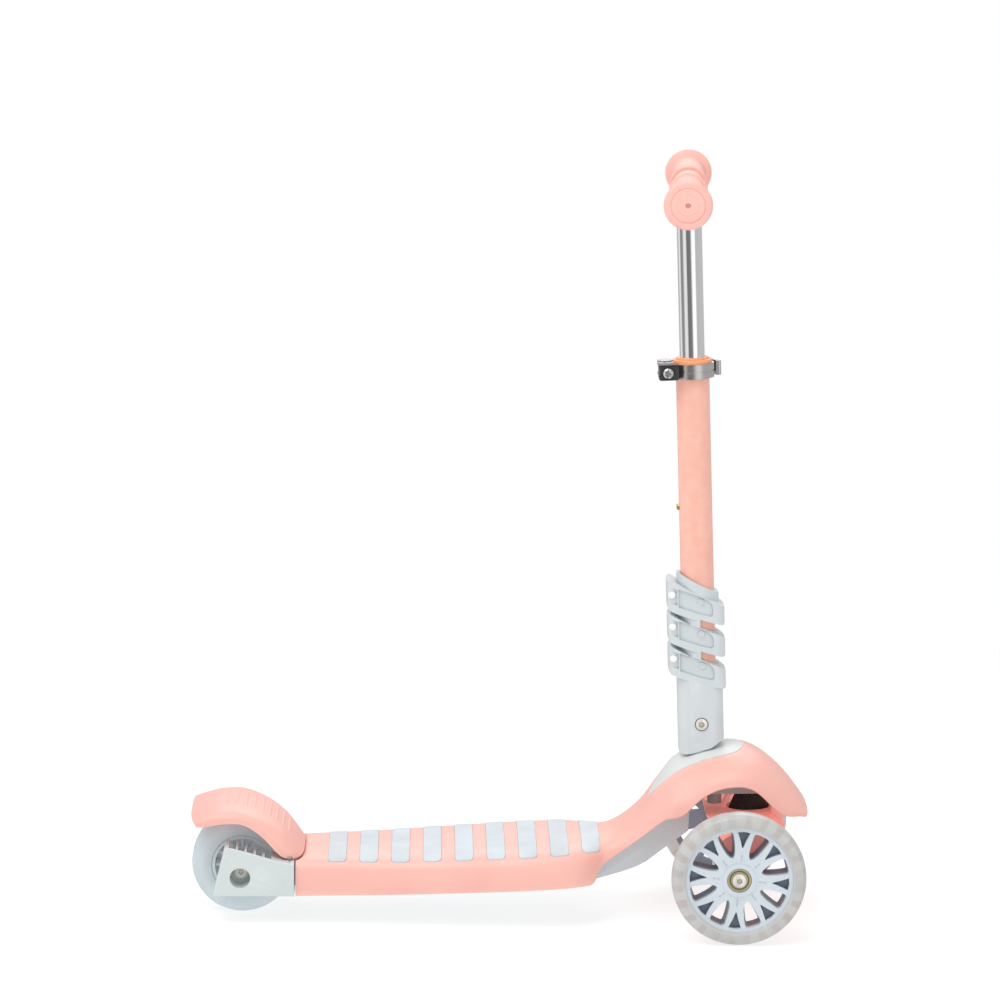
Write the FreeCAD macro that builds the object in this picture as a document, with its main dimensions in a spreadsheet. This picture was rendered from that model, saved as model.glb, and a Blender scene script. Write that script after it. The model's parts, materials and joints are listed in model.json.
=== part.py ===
"""Child's lean-to-steer kick scooter: two front wheels, one wide rear wheel, telescoping handlebar.

Millimetres. +X is forward, +Y is the scooter's left, +Z is up. The origin is on the ground, under the
middle of the scooter's length. Lengths along the scooter are given from the front axle (the axle frame).
"""
import FreeCAD, Part
import math
import os
import re
import Sketcher
from FreeCAD import Placement, Rotation, Vector

doc = FreeCAD.newDocument("kick_scooter")

# ---------------------------------------------------------------- driving dimensions
DIMENSIONS = {
    # wheels
    "front_axle_x": 210.5,
    "front_wheel_r": 60,
    "front_wheel_w": 24,
    "front_track_half": 113,
    "front_rim_r": 48,
    "front_hub_w": 18,
    "hub_boss_r": 15,
    "hub_turn": 4.7,
    "rear_wheel_back": 444.7,
    "rear_wheel_r": 46,
    "rear_wheel_w": 44,
    "rear_rim_r": 27,
    "bearing_r": 11,
    "bearing_bore_r": 4.05,
    "bearing_w": 7,
    "axle_r": 4,
    # steering column
    "column_foot_back": 22.53,
    "column_lean": 2.157,
    "tube_r": 15,
    "tube_bore_r": 13.5,
    "tube_bottom": 168,
    "tube_top": 505.5,
    "inner_tube_r": 11.2,
    "inner_tube_bore_r": 9.7,
    "inner_tube_bottom": 350,
    "grip_axis_up": 662.5,
    "collar_bottom": 493.5,
    "collar_height": 13,
    "collar_r": 19.5,
    "snap_height": 375.3,
    "snap_pitch": 44.5,
    "snap_r": 3,
    # handlebar
    "bar_half": 131,
    "grip_flange_r": 21.3,
    "grip_r": 14.5,
    "grip_inner": 27,
    "grip_outer": 135,
    "bar_turn": 3.3,
    # lean-steer truck
    "kingpin_angle": 67,
    "kingpin_r": 5,
    "bushing_r": 16.5,
    # shells
    "shell_wall": 3,
    "pad_length": 16.3,
    "pad_pitch": 28.6,
    "pad_thickness": 2.4,
    # rear brake
    "fender_pivot_back": 400.5,
    "fender_pivot_up": 59.5,
    "fender_pin_r": 2.5,
}
sheet = doc.addObject("Spreadsheet::Sheet", "Sizes")
for row, (alias, number) in enumerate(DIMENSIONS.items(), start=1):
    sheet.set("A%d" % row, alias)
    sheet.set("B%d" % row, str(number))
    sheet.setAlias("B%d" % row, alias)
doc.recompute()


def size(expression):
    """The value of a number, or of an expression in the sheet's aliases."""
    if not isinstance(expression, str):
        return float(expression)
    return float(sheet.evalExpression(expression))


def bound(expression):
    """The same expression as seen from another object: every alias gets the sheet's name."""
    return re.sub(r"([a-z]\w*)", r"Sizes.\1", expression)


NODES = []


def node(obj, label=None):
    """Registers an object as a sub-part that is written to its own file."""
    obj.Label = label or obj.Name
    NODES.append(obj)
    return obj


# ---------------------------------------------------------------- frames
UPRIGHT = Rotation()
TO_LEFT = Rotation(Vector(1, 0, 0), -90)
TO_RIGHT = Rotation(Vector(1, 0, 0), 90)
AXLE = Placement(Vector(size("front_axle_x"), 0, 0), UPRIGHT)
COLUMN = AXLE * Placement(Vector(-size("column_foot_back"), 0, 0),
                          Rotation(Vector(0, 1, 0), -size("column_lean")))
KINGPIN = AXLE * Placement(Vector(0, 0, size("front_wheel_r")),
                           Rotation(Vector(0, 1, 0), 90 - size("kingpin_angle")))


def at(frame, x=0.0, y=0.0, z=0.0, turn=UPRIGHT):
    """A placement given in one of the frames above."""
    return frame * Placement(Vector(x, y, z), turn)


# ---------------------------------------------------------------- general makers
def plane(body, role):
    return next(f for f in body.Origin.OriginFeatures if f.Role == role)


def sketch_of(body, name, points, role="XZ_Plane"):
    """A closed polygon in the positive quadrant, each corner held by dimensions from the origin."""
    sketch = body.newObject("Sketcher::SketchObject", name)
    sketch.AttachmentSupport = [(plane(body, role), "")]
    sketch.MapMode = "FlatFace"
    corners = [Vector(size(x), size(y), 0) for x, y in points]
    count = len(corners)
    for i in range(count):
        sketch.addGeometry(Part.LineSegment(corners[i], corners[(i + 1) % count]), False)
    for i in range(count):
        sketch.addConstraint(Sketcher.Constraint("Coincident", i, 2, (i + 1) % count, 1))
    for i, pair in enumerate(points):
        for kind, expression in zip(("DistanceX", "DistanceY"), pair):
            index = sketch.addConstraint(Sketcher.Constraint(kind, -1, 1, i, 1, size(expression)))
            if isinstance(expression, str):
                sketch.setExpression("Constraints[%d]" % index, bound(expression))
    return sketch


def round_edges(body, radius, wanted):
    """Fillets the edges of the body's tip that the test wants."""
    doc.recompute()
    tip = body.Tip
    names = ["Edge%d" % (i + 1) for i, edge in enumerate(tip.Shape.Edges) if wanted(edge)]
    fillet = body.newObject("PartDesign::Fillet", body.Name + "_round%d" % len(body.Group))
    fillet.Base = (tip, names)
    fillet.Radius = size(radius)
    if isinstance(radius, str):
        fillet.setExpression("Radius", bound(radius))
    body.Tip = fillet
    return fillet


def circle_at(radius, z):
    """A test for full circular edges of one radius and height about the Z axis."""
    def test(edge):
        curve = edge.Curve
        return (isinstance(curve, Part.Circle) and abs(curve.Radius - size(radius)) < 0.01
                and abs(curve.Center.z - size(z)) < 0.01)
    return test


def turned(name, profile, place, rounds=()):
    """A lathe part: the profile's (radius, height) corners turned about Z, with rounded edges."""
    body = doc.addObject("PartDesign::Body", name)
    sketch = sketch_of(body, name + "_profile", profile)
    turn = body.newObject("PartDesign::Revolution", name + "_turn")
    turn.Profile = sketch
    turn.ReferenceAxis = (sketch, ["V_Axis"])
    turn.Angle = 360
    body.Tip = turn
    for radius, edge_r, edge_z in rounds:
        round_edges(body, radius, circle_at(edge_r, edge_z))
    body.Placement = place
    return node(body)


def cylinder(radius, height, place=Placement()):
    """A plain solid cylinder used as a tool."""
    made = Part.makeCylinder(size(radius), size(height))
    made.Placement = place
    return made


def box(low, high, place=Placement()):
    """A plain solid box used as a tool, from its lowest to its highest corner."""
    span = [h - l for l, h in zip(low, high)]
    made = Part.makeBox(*span, Vector(*low))
    made.Placement = place.multiply(made.Placement)
    return made


def prism(outline, half):
    """A flat outline in the X-Z plane, thick by half on each side of the middle plane."""
    return slab(outline, -half, half)


def slab(outline, right, left):
    """A flat outline of (x, z) corners, extruded from y = right to y = left."""
    corners = [Vector(x, right, z) for x, z in outline]
    return Part.Face(Part.makePolygon(corners + corners[:1])).extrude(Vector(0, left - right, 0))


def fused(shapes):
    solid = shapes[0].fuse(shapes[1:]) if len(shapes) > 1 else shapes[0]
    return solid.removeSplitter()


def feature(name, shape, place):
    """A sub-part whose shape is made directly."""
    made = doc.addObject("Part::Feature", name)
    made.Shape = shape
    made.Placement = place
    return node(made)


# ---------------------------------------------------------------- moulded shells
def smooth(xs, ys, x):
    """Monotone cubic through (xs, ys), so that a row of sizes flows without overshoot."""
    count = len(xs)
    steps = [xs[i + 1] - xs[i] for i in range(count - 1)]
    slopes = [(ys[i + 1] - ys[i]) / steps[i] for i in range(count - 1)]
    tangents = [slopes[0]] + [0.0] * (count - 2) + [slopes[-1]]
    for i in range(1, count - 1):
        if slopes[i - 1] * slopes[i] > 0:
            w1 = 2 * steps[i] + steps[i - 1]
            w2 = steps[i] + 2 * steps[i - 1]
            tangents[i] = (w1 + w2) / (w1 / slopes[i - 1] + w2 / slopes[i])
    i = max(k for k in range(count - 1) if xs[k] <= x or k == 0)
    u = (x - xs[i]) / steps[i]
    return ((1 + 2 * u) * (1 - u) ** 2 * ys[i] + u * (1 - u) ** 2 * steps[i] * tangents[i]
            + u * u * (3 - 2 * u) * ys[i + 1] + u * u * (u - 1) * steps[i] * tangents[i + 1])


def resampled(stations, count):
    """More stations, evenly spread, that flow through the given ones."""
    run = [0.0]
    for a, b in zip(stations, stations[1:]):
        run.append(run[-1] + math.hypot(b[0] - a[0], b[1] - a[1]) / 2
                   + math.hypot(b[2] - a[2], b[3] - a[3]) / 2)
    columns = list(zip(*stations))
    rows = []
    for k in range(count):
        place = run[-1] * k / (count - 1)
        rows.append([smooth(run, column, place) for column in columns])
    return rows


# A station is one cross-section of a moulded shell: the crown (x, z), the lower edge (x, z), the half
# width at the lower edge, the squareness of the shoulder, and how much of the drop is an even crown.
BODY_STATIONS = [
    (-395.4, 60.0, -395.4, 26.5, 55.5, 6.5, 0.0),
    (-357, 61.4, -357, 28.0, 58.5, 6.0, 0.0),
    (-300, 64.2, -300, 30.6, 65.0, 5.0, 0.0),
    (-240, 67.4, -240, 33.8, 70.5, 5.0, 0.0),
    (-185, 70.4, -185, 36.7, 73.5, 5.0, 0.0),
    (-158, 71.7, -158, 38.0, 72.0, 5.0, 0.0),
    (-141, 72.4, -141, 38.6, 67.5, 4.8, 0.0),
    (-130, 73.1, -131, 38.6, 61.5, 4.4, 0.0),
    (-123, 74.3, -124.5, 42.0, 54.5, 4.0, 0.0),
    (-117, 75.8, -120.7, 51.5, 49.5, 3.6, 0.05),
    (-110, 78.2, -114.8, 56.8, 47.0, 3.3, 0.1),
    (-97, 86.0, -100.5, 67.0, 46.0, 3.0, 0.15),
    (-82, 99.5, -85.2, 78.6, 48.0, 2.8, 0.2),
    (-69.5, 117.0, -70.8, 91.5, 53.0, 2.7, 0.25),
    (-61, 130.0, -64.0, 97.5, 57.0, 2.6, 0.3),
    (-51, 142.0, -58.0, 100.2, 60.0, 2.5, 0.35),
    (-40, 149.5, -50.5, 101.0, 61.5, 2.4, 0.35),
    (-30, 153.3, -43.0, 107.0, 62.0, 2.4, 0.35),
    (-20, 155.4, -34.3, 116.0, 62.0, 2.4, 0.35),
    (-11, 156.4, -24.0, 123.4, 62.0, 2.4, 0.35),
    (-2, 156.7, -11.0, 128.4, 62.0, 2.4, 0.35),
    (8, 156.0, 3.0, 130.0, 62.0, 2.4, 0.35),
    (18, 153.0, 14.0, 127.6, 61.5, 2.4, 0.35),
    (28, 147.5, 22.5, 122.0, 61.0, 2.4, 0.35),
    (37, 140.5, 29.0, 115.5, 60.0, 2.4, 0.35),
    (45, 133.0, 36.0, 108.3, 58.5, 2.4, 0.35),
    (52, 125.0, 43.5, 103.0, 56.0, 2.5, 0.35),
    (58.5, 116.5, 51.0, 100.6, 52.5, 2.6, 0.35),
    (64, 108.5, 58.0, 100.0, 47.5, 2.8, 0.3),
    (67.6, 102.5, 63.5, 97.5, 41.5, 3.0, 0.2),
    (69.7, 98.0, 68.0, 95.0, 34.0, 3.0, 0.1),
]
BODY_SECTIONS = 60
SECTION_POINTS = 12


def section(station, outset, low_reach=0.0):
    """Points of one shell section, from the right lower edge over the crown to the left one."""
    crown_x, crown_z, edge_x, edge_z, half, square, even = station
    crown = Vector(crown_x, 0, crown_z)
    edge = Vector(edge_x, 0, edge_z)
    down = (edge - crown).normalize()
    crown = crown - down * outset
    edge = edge + down * low_reach
    drop = (edge - crown).Length
    half = half + outset
    points = []
    for k in range(-SECTION_POINTS, SECTION_POINTS + 1):
        angle = abs(k) / SECTION_POINTS * math.pi / 2
        across = math.sin(angle) ** (2 / square)
        fall = even * across ** 2 + (1 - even) * (1 - math.cos(angle) ** (2 / square))
        if abs(k) == SECTION_POINTS:
            across, fall = 1.0, 1.0
        point = crown + down * (drop * fall)
        points.append(Vector(point.x, math.copysign(across * half, k) if k else 0.0, point.z))
    return points


def skin_face(rows):
    surface = Part.BSplineSurface()
    surface.interpolate(rows)
    return surface.toShape()


def shell(stations, outset, wall, low_reach=0.0):
    """A moulded shell: a skin, the same skin a wall further in, and the strips that join them."""
    outer = skin_face([section(s, outset, low_reach) for s in stations])
    inner = skin_face([section(s, outset - wall, low_reach) for s in stations])
    return closed_between(outer, inner)


def closed_between(outer, inner):
    """The solid between two skins with matching borders."""
    strips = [Part.makeRuledSurface(a, b) for a, b in zip(border(outer), border(inner))]
    sewn = Part.makeShell([outer, inner] + strips)
    sewn.sewShape()
    solid = Part.makeSolid(Part.Shell(sewn.Faces))
    if solid.Volume < 0:
        solid.reverse()
    return solid


def border(face):
    """The four border edges of a skin, in a fixed order."""
    surface = face.Surface
    u0, u1, v0, v1 = surface.bounds()
    return [surface.uIso(u0).toShape(), surface.uIso(u1).toShape(),
            surface.vIso(v0).toShape(), surface.vIso(v1).toShape()]


def core(stations, outset, low_reach=0.0):
    """The full solid inside one skin, closed below by a ruled floor between its lower edges."""
    outer = skin_face([section(s, outset, low_reach) for s in stations])
    start, end, left, right = border(outer)
    floor = Part.makeRuledSurface(left, right)
    caps = []
    for rib in (start, end):
        chord = Part.LineSegment(rib.Vertexes[0].Point, rib.Vertexes[-1].Point).toShape()
        caps.append(Part.makeRuledSurface(rib, chord))
    sewn = Part.makeShell([outer, floor] + caps)
    sewn.sewShape()
    solid = Part.makeSolid(Part.Shell(sewn.Faces))
    if solid.Volume < 0:
        solid.reverse()
    return solid


BODY = resampled(BODY_STATIONS, BODY_SECTIONS)


# ---------------------------------------------------------------- deck, pads, hood and covers
WALL = size("shell_wall")
COLUMN_IN_AXLE = AXLE.inverse() * COLUMN
KINGPIN_IN_AXLE = AXLE.inverse() * KINGPIN
PAD_COUNT = 9
FIRST_PAD_X = -358.0
PAD_CORNER = 3.5
GAP = 0.15


def body_half_width(x):
    """Half the body's width where its crown is at x."""
    crowns = [s[0] for s in BODY_STATIONS]
    return smooth(crowns, [s[4] for s in BODY_STATIONS], x)


def pad_prism(index, grow):
    """The upright block that one deck pad is cut from, its ends following the deck's plan."""
    middle = FIRST_PAD_X + index * size("pad_pitch")
    half = size("pad_length") / 2 + grow
    rear, front = middle - half, middle + half
    reach = [0.9 * body_half_width(x) + grow for x in (rear, front)]
    corners = [(rear, -reach[0]), (front, -reach[1]), (front, reach[1]), (rear, reach[0])]
    wire = Part.makePolygon([Vector(x, y, 45) for x, y in corners + corners[:1]])
    block = Part.Face(wire).extrude(Vector(0, 0, 45))
    upright = [e for e in block.Edges if abs(e.tangentAt(e.FirstParameter).z) > 0.9]
    return block.makeFillet(PAD_CORNER, upright)


def leaf_prism(grow):
    """The upright block of the leaf-shaped trim round the foot of the column."""
    side = [(-71, 10), (-63.5, 20.5), (-53, 29), (-40, 32), (-26, 32), (-11, 31), (0.5, 26), (7, 15)]
    tip, nose = Vector(-76 - grow, 0, 95), Vector(9.5 + grow, 0, 95)
    edges = []
    for hand in (1, -1):
        stretch = 1 + grow / 32
        points = [tip] + [Vector(x, hand * y * stretch, 95) for x, y in side] + [nose]
        curve = Part.BSplineCurve()
        curve.interpolate(points)
        edges.append(curve.toShape())
    return Part.Face(Part.Wire(Part.__sortEdges__(edges))).extrude(Vector(0, 0, 85))


# The cover under the deck and neck. A row is one section: the flat bottom, the crease and the rim,
# each as (x, z, half width).
COVER_ROWS = [
    ((-391, 27.8, 47), (-391, 28.6, 50.2), (-391, 33.0, 51)),
    ((-357, 29.2, 50), (-357, 30.0, 53.5), (-357, 34.4, 54.4)),
    ((-300, 31.8, 57), (-300, 32.6, 60.2), (-300, 37.0, 61.2)),
    ((-240, 35.0, 62.5), (-240, 35.8, 65.8), (-240, 40.2, 66.8)),
    ((-185, 37.8, 65.5), (-185, 38.6, 68.8), (-185, 43.0, 69.8)),
    ((-158, 39.0, 64), (-158, 39.8, 67.3), (-158, 44.3, 68.3)),
    ((-141, 38.8, 58), (-141, 40.2, 62.2), (-141, 45.0, 63.8)),
    ((-131, 37.8, 44), (-131, 41.5, 54), (-131, 47.0, 57)),
    ((-120, 36.9, 27), (-120, 44.5, 43.5), (-122, 53.0, 46)),
    ((-107, 39.3, 22), (-110, 50.0, 41), (-113, 61.0, 42.6)),
    ((-91, 43.9, 20), (-97, 58.5, 40), (-99, 71.0, 41.6)),
    ((-79, 49.6, 19.5), (-83, 69.0, 39.5), (-84, 83.0, 43.4)),
    ((-68.5, 57.5, 19), (-74, 77.5, 38), (-70, 95.0, 47.5)),
    ((-59, 64.8, 19), (-64, 87.0, 37), (-62, 102.0, 49)),
    ((-48, 73.0, 19), (-53, 94.5, 35), (-50, 108.0, 48)),
    ((-40, 79.0, 19), (-40, 103.0, 32), (-40, 113.0, 44)),
]
COVER_SCREWS = [(x, hand * y) for x, y in ((-378, 36), (-286, 44), (-172, 50)) for hand in (1, -1)]

# The brake fender's sections, from its rounded tail to its rounded front end over the hinge.
FENDER_STATIONS = [
    (-490.5, 97.0, -484.5, 88.0, 49.5, 3.4, 0.0),
    (-484.5, 99.0, -479.0, 88.6, 51.5, 3.6, 0.0),
    (-475.0, 101.6, -471.0, 90.2, 52.3, 3.8, 0.0),
    (-463.0, 104.0, -460.0, 91.9, 52.5, 4.0, 0.0),
    (-450.0, 104.6, -449.0, 92.2, 52.5, 4.0, 0.0),
    (-438.0, 102.2, -439.0, 89.6, 52.5, 4.0, 0.0),
    (-427.0, 98.0, -430.5, 84.2, 52.5, 4.0, 0.0),
    (-416.0, 91.8, -422.0, 76.8, 52.5, 4.0, 0.0),
    (-405.5, 83.2, -414.5, 68.3, 52.5, 4.0, 0.0),
    (-397.0, 73.4, -407.0, 61.4, 51.5, 3.6, 0.0),
    (-391.0, 65.4, -400.0, 58.8, 48.5, 3.2, 0.0),
    (-388.0, 60.8, -395.0, 57.4, 42.0, 3.0, 0.0),
]
FENDER = resampled(FENDER_STATIONS, 28)

DECK_BODY = [s for s in BODY if s[0] < -95]
HOOD_BODY = [s for s in BODY if s[0] > -95]
pad_band = shell(DECK_BODY, 0.7, size("pad_thickness"))
trim_band = shell(HOOD_BODY, 0.5, 2.7)
pads = Part.makeCompound([pad_band.common(pad_prism(i, 0)) for i in range(PAD_COUNT)])
pad_seats = [shell(DECK_BODY, 1.5, 1.5 + size("pad_thickness") - 0.7 + GAP)
             .common(pad_prism(i, GAP)) for i in range(PAD_COUNT)]


def screw_boss(x, y):
    """A hollow post under the deck that a cover screw bites into."""
    post = cylinder(4.5, 40, Placement(Vector(x, y, cover_height(x) + 3.1), UPRIGHT))
    return post.cut(cylinder(1.7, 60, Placement(Vector(x, y, 20), UPRIGHT)))


def cover_height(x):
    """Height of the cover's flat underside at x."""
    return smooth([row[0][0] for row in COVER_ROWS], [row[0][1] for row in COVER_ROWS], x)


deck_inside = core(BODY, -WALL / 2, -1)
bosses = [screw_boss(x, y).common(deck_inside) for x, y in COVER_SCREWS]
fender_seats = [core(FENDER, 2.0, 6.0), core(FENDER, 2.0, 6.0).translated(Vector(3.4, 0, 0))]
NOSE_ROUND = 11.3
nose_centre = Vector(57.5, -60, 106.5)
nose_corner = box((nose_centre.x, -60, 85), (80, 60, nose_centre.z)).cut(
    cylinder(NOSE_ROUND, 120, Placement(nose_centre, TO_LEFT)))
deck = shell(BODY, 0, WALL).fuse(bosses).cut(
    pad_seats + [leaf_prism(GAP), nose_corner] + fender_seats)
feature("deck_shell", deck, AXLE)
feature("deck_pads", pads, AXLE)
column_clearance = cylinder(16.4, 80, COLUMN_IN_AXLE * Placement(Vector(0, 0, 110), UPRIGHT))
feature("column_trim", trim_band.common(leaf_prism(0)).cut(column_clearance), AXLE)


COVER_SECTIONS = 30


def cover_section(row, inset):
    """A closed five-sided section of the cover; the inset one opens it upwards."""
    bx, bz, bh, cx, cz, ch, rx, rz, rh = row
    lift = inset * 3
    half = [Vector(bx, bh - inset, bz + inset), Vector(cx, ch - inset, cz + inset / 2),
            Vector(rx, rh - inset, rz + lift)]
    other = [Vector(p.x, -p.y, p.z) for p in reversed(half)]
    return Part.makePolygon(half + other + half[:1])


cover_rows = resampled([a[:1] + (a[1],) + b[:1] + (b[1],) + (a[2], b[2]) + c for a, b, c in COVER_ROWS],
                       COVER_SECTIONS)
cover_rows = [(r[0], r[1], r[4], r[2], r[3], r[5], r[6], r[7], r[8]) for r in cover_rows]
cover_solid = Part.makeLoft([cover_section(r, 0) for r in cover_rows], True, True)
cover_hollow = Part.makeLoft([cover_section(r, 2.4) for r in cover_rows], True, True)
screw_holes = [cylinder(1.75, 60, Placement(Vector(x, y, 10), UPRIGHT)) for x, y in COVER_SCREWS]
feature("underside_cover", cover_solid.cut([cover_hollow] + screw_holes), AXLE)


def cover_screw(x, y):
    under = Placement(Vector(x, y, cover_height(x)), UPRIGHT)
    return fused([cylinder(3.4, 1.6, under * Placement(Vector(0, 0, -2.0), UPRIGHT)),
                  cylinder(1.65, 16, under * Placement(Vector(0, 0, -0.5), UPRIGHT))])


feature("cover_screws", Part.makeCompound([cover_screw(x, y) for x, y in COVER_SCREWS]), AXLE)

# ---------------------------------------------------------------- chassis bracket and column foot
BRACKET_SIDE = [(-46, 116), (-46, 131), (-36, 140), (-15, 145.5), (8, 145.5), (22, 139), (33, 128),
                (33, 117)]
BRACKET_HALF = 31
BOSS_START = 58.3
POST_TOP = 205
post = cylinder("tube_bore_r - 0.1", POST_TOP - 130, COLUMN_IN_AXLE * Placement(Vector(0, 0, 130), UPRIGHT))
boss = cylinder("bushing_r + 2", 14, KINGPIN_IN_AXLE * Placement(Vector(0, 0, BOSS_START), UPRIGHT))
kingpin_bore = cylinder("kingpin_r + 0.05", 80, KINGPIN_IN_AXLE * Placement(Vector(0, 0, 50), UPRIGHT))
kingpin_pocket = cylinder(9.2, 40, KINGPIN_IN_AXLE * Placement(Vector(0, 0, 76), UPRIGHT))
socket_bolt_bore = cylinder(4.05, 80, COLUMN_IN_AXLE * Placement(Vector(0, -40, 178), TO_LEFT))
stop_boss = cylinder(6.5, 20, Placement(Vector(-15.5, 0, 101), UPRIGHT))
SCREW_SPOTS = [(-39, 20), (-39, -20)]
screw_bores = [cylinder(2.05, 16, Placement(Vector(x, y, 110), UPRIGHT)) for x, y in SCREW_SPOTS]
bushing_room = cylinder("bushing_r + 1", BOSS_START - 20,
                        KINGPIN_IN_AXLE * Placement(Vector(0, 0, 20), UPRIGHT))
bracket = fused([prism(BRACKET_SIDE, BRACKET_HALF), post, boss, stop_boss]).cut(bushing_room)
feature("chassis_bracket",
        bracket.cut([kingpin_bore, kingpin_pocket, socket_bolt_bore] + screw_bores), AXLE)
feature("bracket_screws", Part.makeCompound([
    fused([cylinder(4, 2.4, Placement(Vector(x, y, 113.6), UPRIGHT)),
           cylinder(2, 11, Placement(Vector(x, y, 114.5), UPRIGHT))]) for x, y in SCREW_SPOTS]), AXLE)

# ---------------------------------------------------------------- steering socket with its three claws
CLAW_HOLES = [293.6, 264.25, 234.9]
CLAW_HALF = 19
SOCKET_HALF = 19
CLAW_PLAN_CORNER = 9
CLAW_HOLE_BACK, CLAW_HOLE_RISE = 23.9, 4.2
PANEL_DEPTH = 1.8


def rounded_block(rear, front, half, low, high, corner):
    """An upright block in the column's frame with rounded upright edges."""
    block = box((rear, -half, low), (front, half, high))
    upright = [e for e in block.Edges if abs(e.tangentAt(e.FirstParameter).z) > 0.9]
    return block.makeFillet(corner, upright)


def claw(hole_up, top_rise):
    """One band: an oval block cut to a profile that drops towards the front."""
    side = [(-28, hole_up - 7.5), (-28, hole_up + top_rise), (-25.5, hole_up + top_rise + 1.8),
            (-6, hole_up + top_rise - 9), (12, hole_up - 2.3), (14, hole_up - 3), (23.3, hole_up - 9),
            (23.3, hole_up - 23.5), (22, hole_up - 25.2), (8, hole_up - 22.4), (-8, hole_up - 18),
            (-26.5, hole_up - 10.3)]
    oval = rounded_block(-28, 23.3, CLAW_HALF, hole_up - 40, hole_up + 40, CLAW_PLAN_CORNER)
    solid = prism(side, CLAW_HALF + 1).common(oval)
    hole = Placement(Vector(-CLAW_HOLE_BACK, -30, hole_up + CLAW_HOLE_RISE), TO_LEFT)
    return solid.cut(cylinder(3.3, 60, hole))


def claw_recesses(hole_up):
    """The shallow panels sunk in both sides of one band."""
    panel = [(-18.2, hole_up - 7), (-18.2, hole_up + 9.5), (0, hole_up + 2.6), (7.5, hole_up - 0.8),
             (11.5, hole_up - 5), (12.8, hole_up - 10), (12.4, hole_up - 15), (10.5, hole_up - 16.4),
             (0, hole_up - 13.8)]
    hole_seat = [(-26.6, hole_up - 3), (-26.6, hole_up + 11.5), (-19.4, hole_up + 9), (-19.4, hole_up - 5)]
    return [slab(outline, hand * CLAW_HALF - PANEL_DEPTH, hand * CLAW_HALF + 2)
            for hand in (-1, 1) for outline in (panel, hole_seat)]


def socket_shape():
    foot_side = [(-20.5, 226), (-20.5, 152), (-17, 150.2), (-6, 151.5), (8, 155.5), (20.5, 163.5),
                 (20.5, 226)]
    foot = prism(foot_side, SOCKET_HALF + 1).common(
        rounded_block(-20.5, 20.5, SOCKET_HALF, 140, 230, 11))
    neck_side = [(-19, 220), (-19, 316.5), (-17.5, 316.5), (19, 296.5), (19, 220)]
    neck = prism(neck_side, 25).common(cylinder(18.9, 110, Placement(Vector(0, 0, 215), UPRIGHT)))
    claws = [claw(CLAW_HOLES[0], 15.8), claw(CLAW_HOLES[1], 13.5), claw(CLAW_HOLES[2], 13.5)]
    windows = [prism([(1, up - 19), (30, up - 28), (30, up - 38.5), (1, up - 26.5)], 25)
               for up in CLAW_HOLES[:2]]
    bore = cylinder("tube_r + 0.05", 400, Placement(Vector(0, 0, 100), UPRIGHT))
    bolt_bore = cylinder(4.05, 80, Placement(Vector(0, -40, 178), TO_LEFT))
    bolt_seat = cylinder(6.3, 4, Placement(Vector(0, -SOCKET_HALF - 2.5, 178), TO_LEFT))
    nut_seat = cylinder(6.3, 4, Placement(Vector(0, SOCKET_HALF - 1.5, 178), TO_LEFT))
    panels = [recess for up in CLAW_HOLES for recess in claw_recesses(up)]
    return fused([foot, neck] + claws).cut(windows + panels + [bore, bolt_bore, bolt_seat, nut_seat])


feature("steering_socket", socket_shape(), COLUMN)


def socket_panel_screws():
    """Round-headed screws that close the claws, one on each side of each claw."""
    screws = []
    for hole_up in CLAW_HOLES:
        for hand in (-1, 1):
            foot = Vector(1.6, hand * (CLAW_HALF - PANEL_DEPTH), hole_up - 3.2)
            turn = TO_LEFT if hand > 0 else TO_RIGHT
            screws.append(cylinder(2.4, 0.9, Placement(foot, turn)))
    return Part.makeCompound(screws)


feature("claw_screws", socket_panel_screws(), COLUMN)
turned("socket_bolt", [(0, 0), (5.6, 0), (5.6, 3.4), (4, 3.4), (4, 41), (0, 41)],
       at(COLUMN, 0, -SOCKET_HALF - 1.9, 178, TO_LEFT), [(1.2, 5.6, 0)])
turned("socket_nut", [(4.02, 0), (5.9, 0), (5.9, 3.2), (4.02, 3.2)],
       at(COLUMN, 0, SOCKET_HALF - 1.4, 178, TO_LEFT), [(0.6, 5.9, 3.2)])


# ---------------------------------------------------------------- column tubes
def part_cylinder(name, radius, height, place=Placement()):
    """A Part cylinder whose sizes follow the sheet."""
    made = doc.addObject("Part::Cylinder", name)
    for key, expression in (("Radius", radius), ("Height", height)):
        if isinstance(expression, str):
            made.setExpression(key, bound(expression))
        else:
            setattr(made, key, expression)
    made.Placement = place
    return made


def part_cut(name, base, tools, place):
    """A Part cut of one base with one or more tools."""
    if len(tools) > 1:
        tool = doc.addObject("Part::MultiFuse", name + "_tools")
        tool.Shapes = tools
    else:
        tool = tools[0]
    made = doc.addObject("Part::Cut", name)
    made.Base, made.Tool = base, tool
    made.Placement = place
    return node(made)


TO_REAR = Rotation(Vector(0, 1, 0), -90)
SNAP_HEIGHTS = [size("snap_height") + k * size("snap_pitch") for k in range(3)]
outer_base = part_cylinder("outer_tube_wall", "tube_r", "tube_top - tube_bottom",
                           Placement(Vector(0, 0, size("tube_bottom")), UPRIGHT))
outer_tools = [part_cylinder("outer_tube_bore", "tube_bore_r", 500, Placement(Vector(0, 0, 100), UPRIGHT)),
               part_cylinder("outer_tube_bolt_hole", 4.05, 60, Placement(Vector(0, -30, 178), TO_LEFT))]
outer_tools += [part_cylinder("snap_hole_%d" % (k + 1), "snap_r + 0.3", 30,
                              Placement(Vector(0, 0, up), TO_REAR)) for k, up in enumerate(SNAP_HEIGHTS)]
part_cut("outer_tube", outer_base, outer_tools, COLUMN)

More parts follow.
